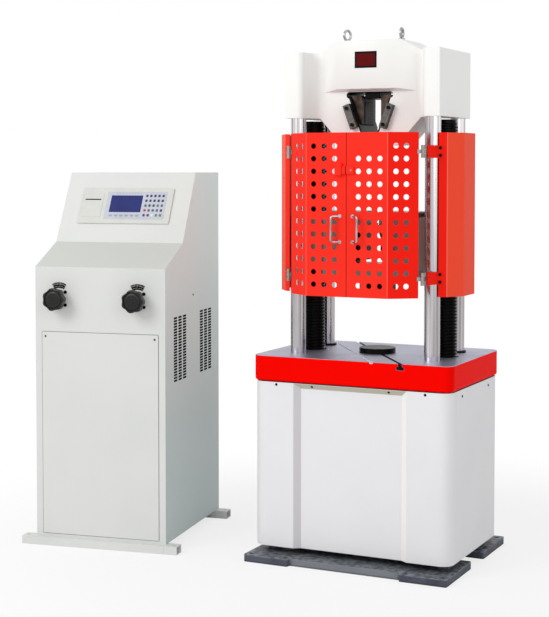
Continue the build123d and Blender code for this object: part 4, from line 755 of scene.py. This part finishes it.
# Printer in the bezel's left end: a lid and the paper slot in it, the slot a thin strip of painted shade
LID_THICK = 1.4
lid = slab(round_box(43, 52, 3), LID_THICK, 0.6)
copies("printer_lid", lid, [on_panel(-142, 160, BEZEL_THICK)], "frame_base", BEZEL, "bezel_plastic")
paper_slot = slab(round_box(34, 2.2, 1.2, 3), 0.7, 0.2)
places = [on_panel(-142, 186, BEZEL_THICK + LID_THICK)]
copies("printer_slot", paper_slot, places, "frame_base", DARK, "black_plastic")

# Marks on the dial sectors: an outer arc of radial bars and an inner arc of bars along it
SECTOR_THICK = 1.5
MARKS_AN_ARC = 9
arcs = []
for radius, outline in ((56, round_box(0.7, 2.6, 0.5, 1)), (47, round_box(1.5, 0.5, 0.4, 1))):
    places = []
    for x in VALVE_X:
        for angle in np.radians(np.linspace(66, 114, MARKS_AN_ARC)):
            away, up = cos(angle), sin(angle)
            origin = spot(x + radius * away, -SECTOR_THICK, VALVE_Z + radius * up)
            places.append((origin, heading(up, 0, -away), heading(away, 0, up)))
    arcs.append(repeated(slab(outline, 0.25, 0.08), places))
(points, faces), (inner_points, inner_faces) = arcs
points, faces = np.concatenate([points, inner_points]), np.concatenate([faces, inner_faces + len(points)])
piece("dial_marks", points, faces, "frame_base", MARKS, "black_plastic")


def star_knob(name, node, x):
    """Seven-lobed knob. At turn t its outline is middle + lobe cos 7 t; going up, the outline is drawn in
    by a quarter-round at both rims, and the face is a ring round a sunk dome. Its hub is bored for the
    stem."""
    count, lobes, middle, lobe = 280, 7, 41.8, 2.2
    near, far, ease = 32.0, 62.0, 3.4
    stem, stem_end, hub, gap = 8.3, 48.3, 17.0, 0.3
    turn = np.linspace(0, 2 * pi, count, endpoint=False)
    outline = middle + lobe * np.cos(lobes * turn)
    arc = np.linspace(0, pi / 2, 6)
    rows = [(0.0, stem_end, 0), (stem, stem_end, 0), (stem, gap, 0), (hub, gap, 0), (hub, near, 0), (None, near, ease)]
    rows += [(None, near + ease - ease * sin(a), ease - ease * cos(a)) for a in arc[::-1]]
    rows += [(None, far - ease + ease * sin(a), ease - ease * cos(a)) for a in arc]
    face = [
        (35.8, 0.2), (35.0, 1.2), (34.0, 4.6), (32.6, 4.6), (31.2, 2.2), (29.0, 1.2), (21.0, 0.6), (20.0, 1.6),
        (19.0, 0.6), (10.0, 0.3), (9.0, 1.3), (8.0, 0.3), (0.0, 0.2),
    ]
    rows += [(radius, far - sunk, 0) for radius, sunk in face]
    points = []
    for radius, height, draw in rows:
        reach = outline - draw if radius is None else np.full(count, radius)
        points.append(np.stack([reach * np.cos(turn), reach * np.sin(turn), np.full(count, height)], -1))
    shape = np.concatenate(points), quads(len(rows), count)
    points, faces = repeated(shape, [on_front(x, VALVE_Z)])
    made = piece(name, points, faces, node, BLACK_PLASTIC, "black_plastic", 40)
    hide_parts(node)


for side, x in zip(("left", "right"), VALVE_X):
    star_knob(f"{side}_star_knob", f"{side}_knob", x)

# Screw of the interlock's actuator
places = [((21, -309.0, 1442.5), (1, 0, 0), (0, 0, 1))]
copies("actuator_screw", screw_head(0.6), places, "right_door", ZINC, "zinc_steel")


# Floor, lights and camera

def studio():
    """A wide floor that takes the object's shadow and fades to white away from it."""
    ground = bpy.data.meshes.new("studio_floor")
    reach = 30.0
    corners = [(-reach, -reach, 0), (reach, -reach, 0), (reach, reach, 0), (-reach, reach, 0)]
    ground.from_pydata(corners, [], [(0, 1, 2, 3)])
    floor = bpy.data.objects.new("studio_floor", ground)
    bpy.context.scene.collection.objects.link(floor)
    finish = Finish("studio_floor", {"Base Color": (0.86, 0.86, 0.86, 1), "Roughness": 0.9})
    seen = finish.node("ShaderNodeLightPath", {}, {}, "Is Camera Ray")
    glow = finish.node("ShaderNodeEmission", {}, {"Color": (1, 1, 1, 1), "Strength": 1.0})
    far = finish.node("ShaderNodeVectorMath", {"operation": "LENGTH"}, {0: finish.place}, "Value")
    share = finish.step(far, 0.8, 2.2, 0.74, 1.0) * seen
    lit = Value(finish, finish.shader.outputs[0])
    mixed = finish.node("ShaderNodeMixShader", {}, {0: share, 1: lit, 2: glow})
    output = finish.nodes["Material Output"]
    finish.links.new(mixed.socket, output.inputs["Surface"])
    ground.materials.append(finish.material)


def lamp(name, place, power, colour=(1.0, 1.0, 1.0), width=2.6, aim=(0, 0, 1.1)):
    """A square area lamp at a place, facing a point, in metres."""
    data = bpy.data.lights.new(name, "AREA")
    data.color = colour
    data.size = width
    data.energy = power
    made = bpy.data.objects.new(name, data)
    bpy.context.scene.collection.objects.link(made)
    made.location = place
    dx, dy, dz = (a - p for a, p in zip(aim, place))
    made.rotation_euler = (atan2(hypot(dx, dy), -dz), 0, atan2(dy, dx) - pi / 2)


def sky(strength):
    """An even white surround. It lights the object with this strength, and where it is seen, straight or
    in a reflection, it is plain white."""
    world = bpy.data.worlds.new("white_surround")
    world.use_nodes = True
    bpy.context.scene.world = world
    tree = Tree(world.node_tree)
    seen, mirrored, refracted = (
        tree.node("ShaderNodeLightPath", {}, {}, f"Is {ray} Ray") for ray in ("Camera", "Glossy", "Transmission")
    )
    shiny = seen.maths("MAXIMUM", mirrored, refracted)
    level = tree.node("ShaderNodeMapRange", {}, {0: seen.maths("MAXIMUM", seen, shiny), 3: strength, 4: 1.0})
    background = tree.nodes["Background"]
    tree.links.new(level.socket, background.inputs["Strength"])
    background.inputs["Color"].default_value = (1, 1, 1, 1)


studio()
sky(0.64)
lamp("key", (-2.4, -4.3, 3.8), 98)
lamp("fill", (3.6, -3.4, 2.8), 29, (0.9, 0.98, 1.0))

view = bpy.data.cameras.new("photo_view")
view.sensor_width = 36.0
view.lens = 85.27
view.shift_y = -0.118
camera = bpy.data.objects.new("photo_view", view)
bpy.context.scene.collection.objects.link(camera)
camera.location = (2.0484, -5.0826, 1.4459)
camera.rotation_euler = (radians(90 - 2.6), 0, radians(26.0))
bpy.context.scene.camera = camera
bpy.context.scene.view_settings.view_transform = "Standard"
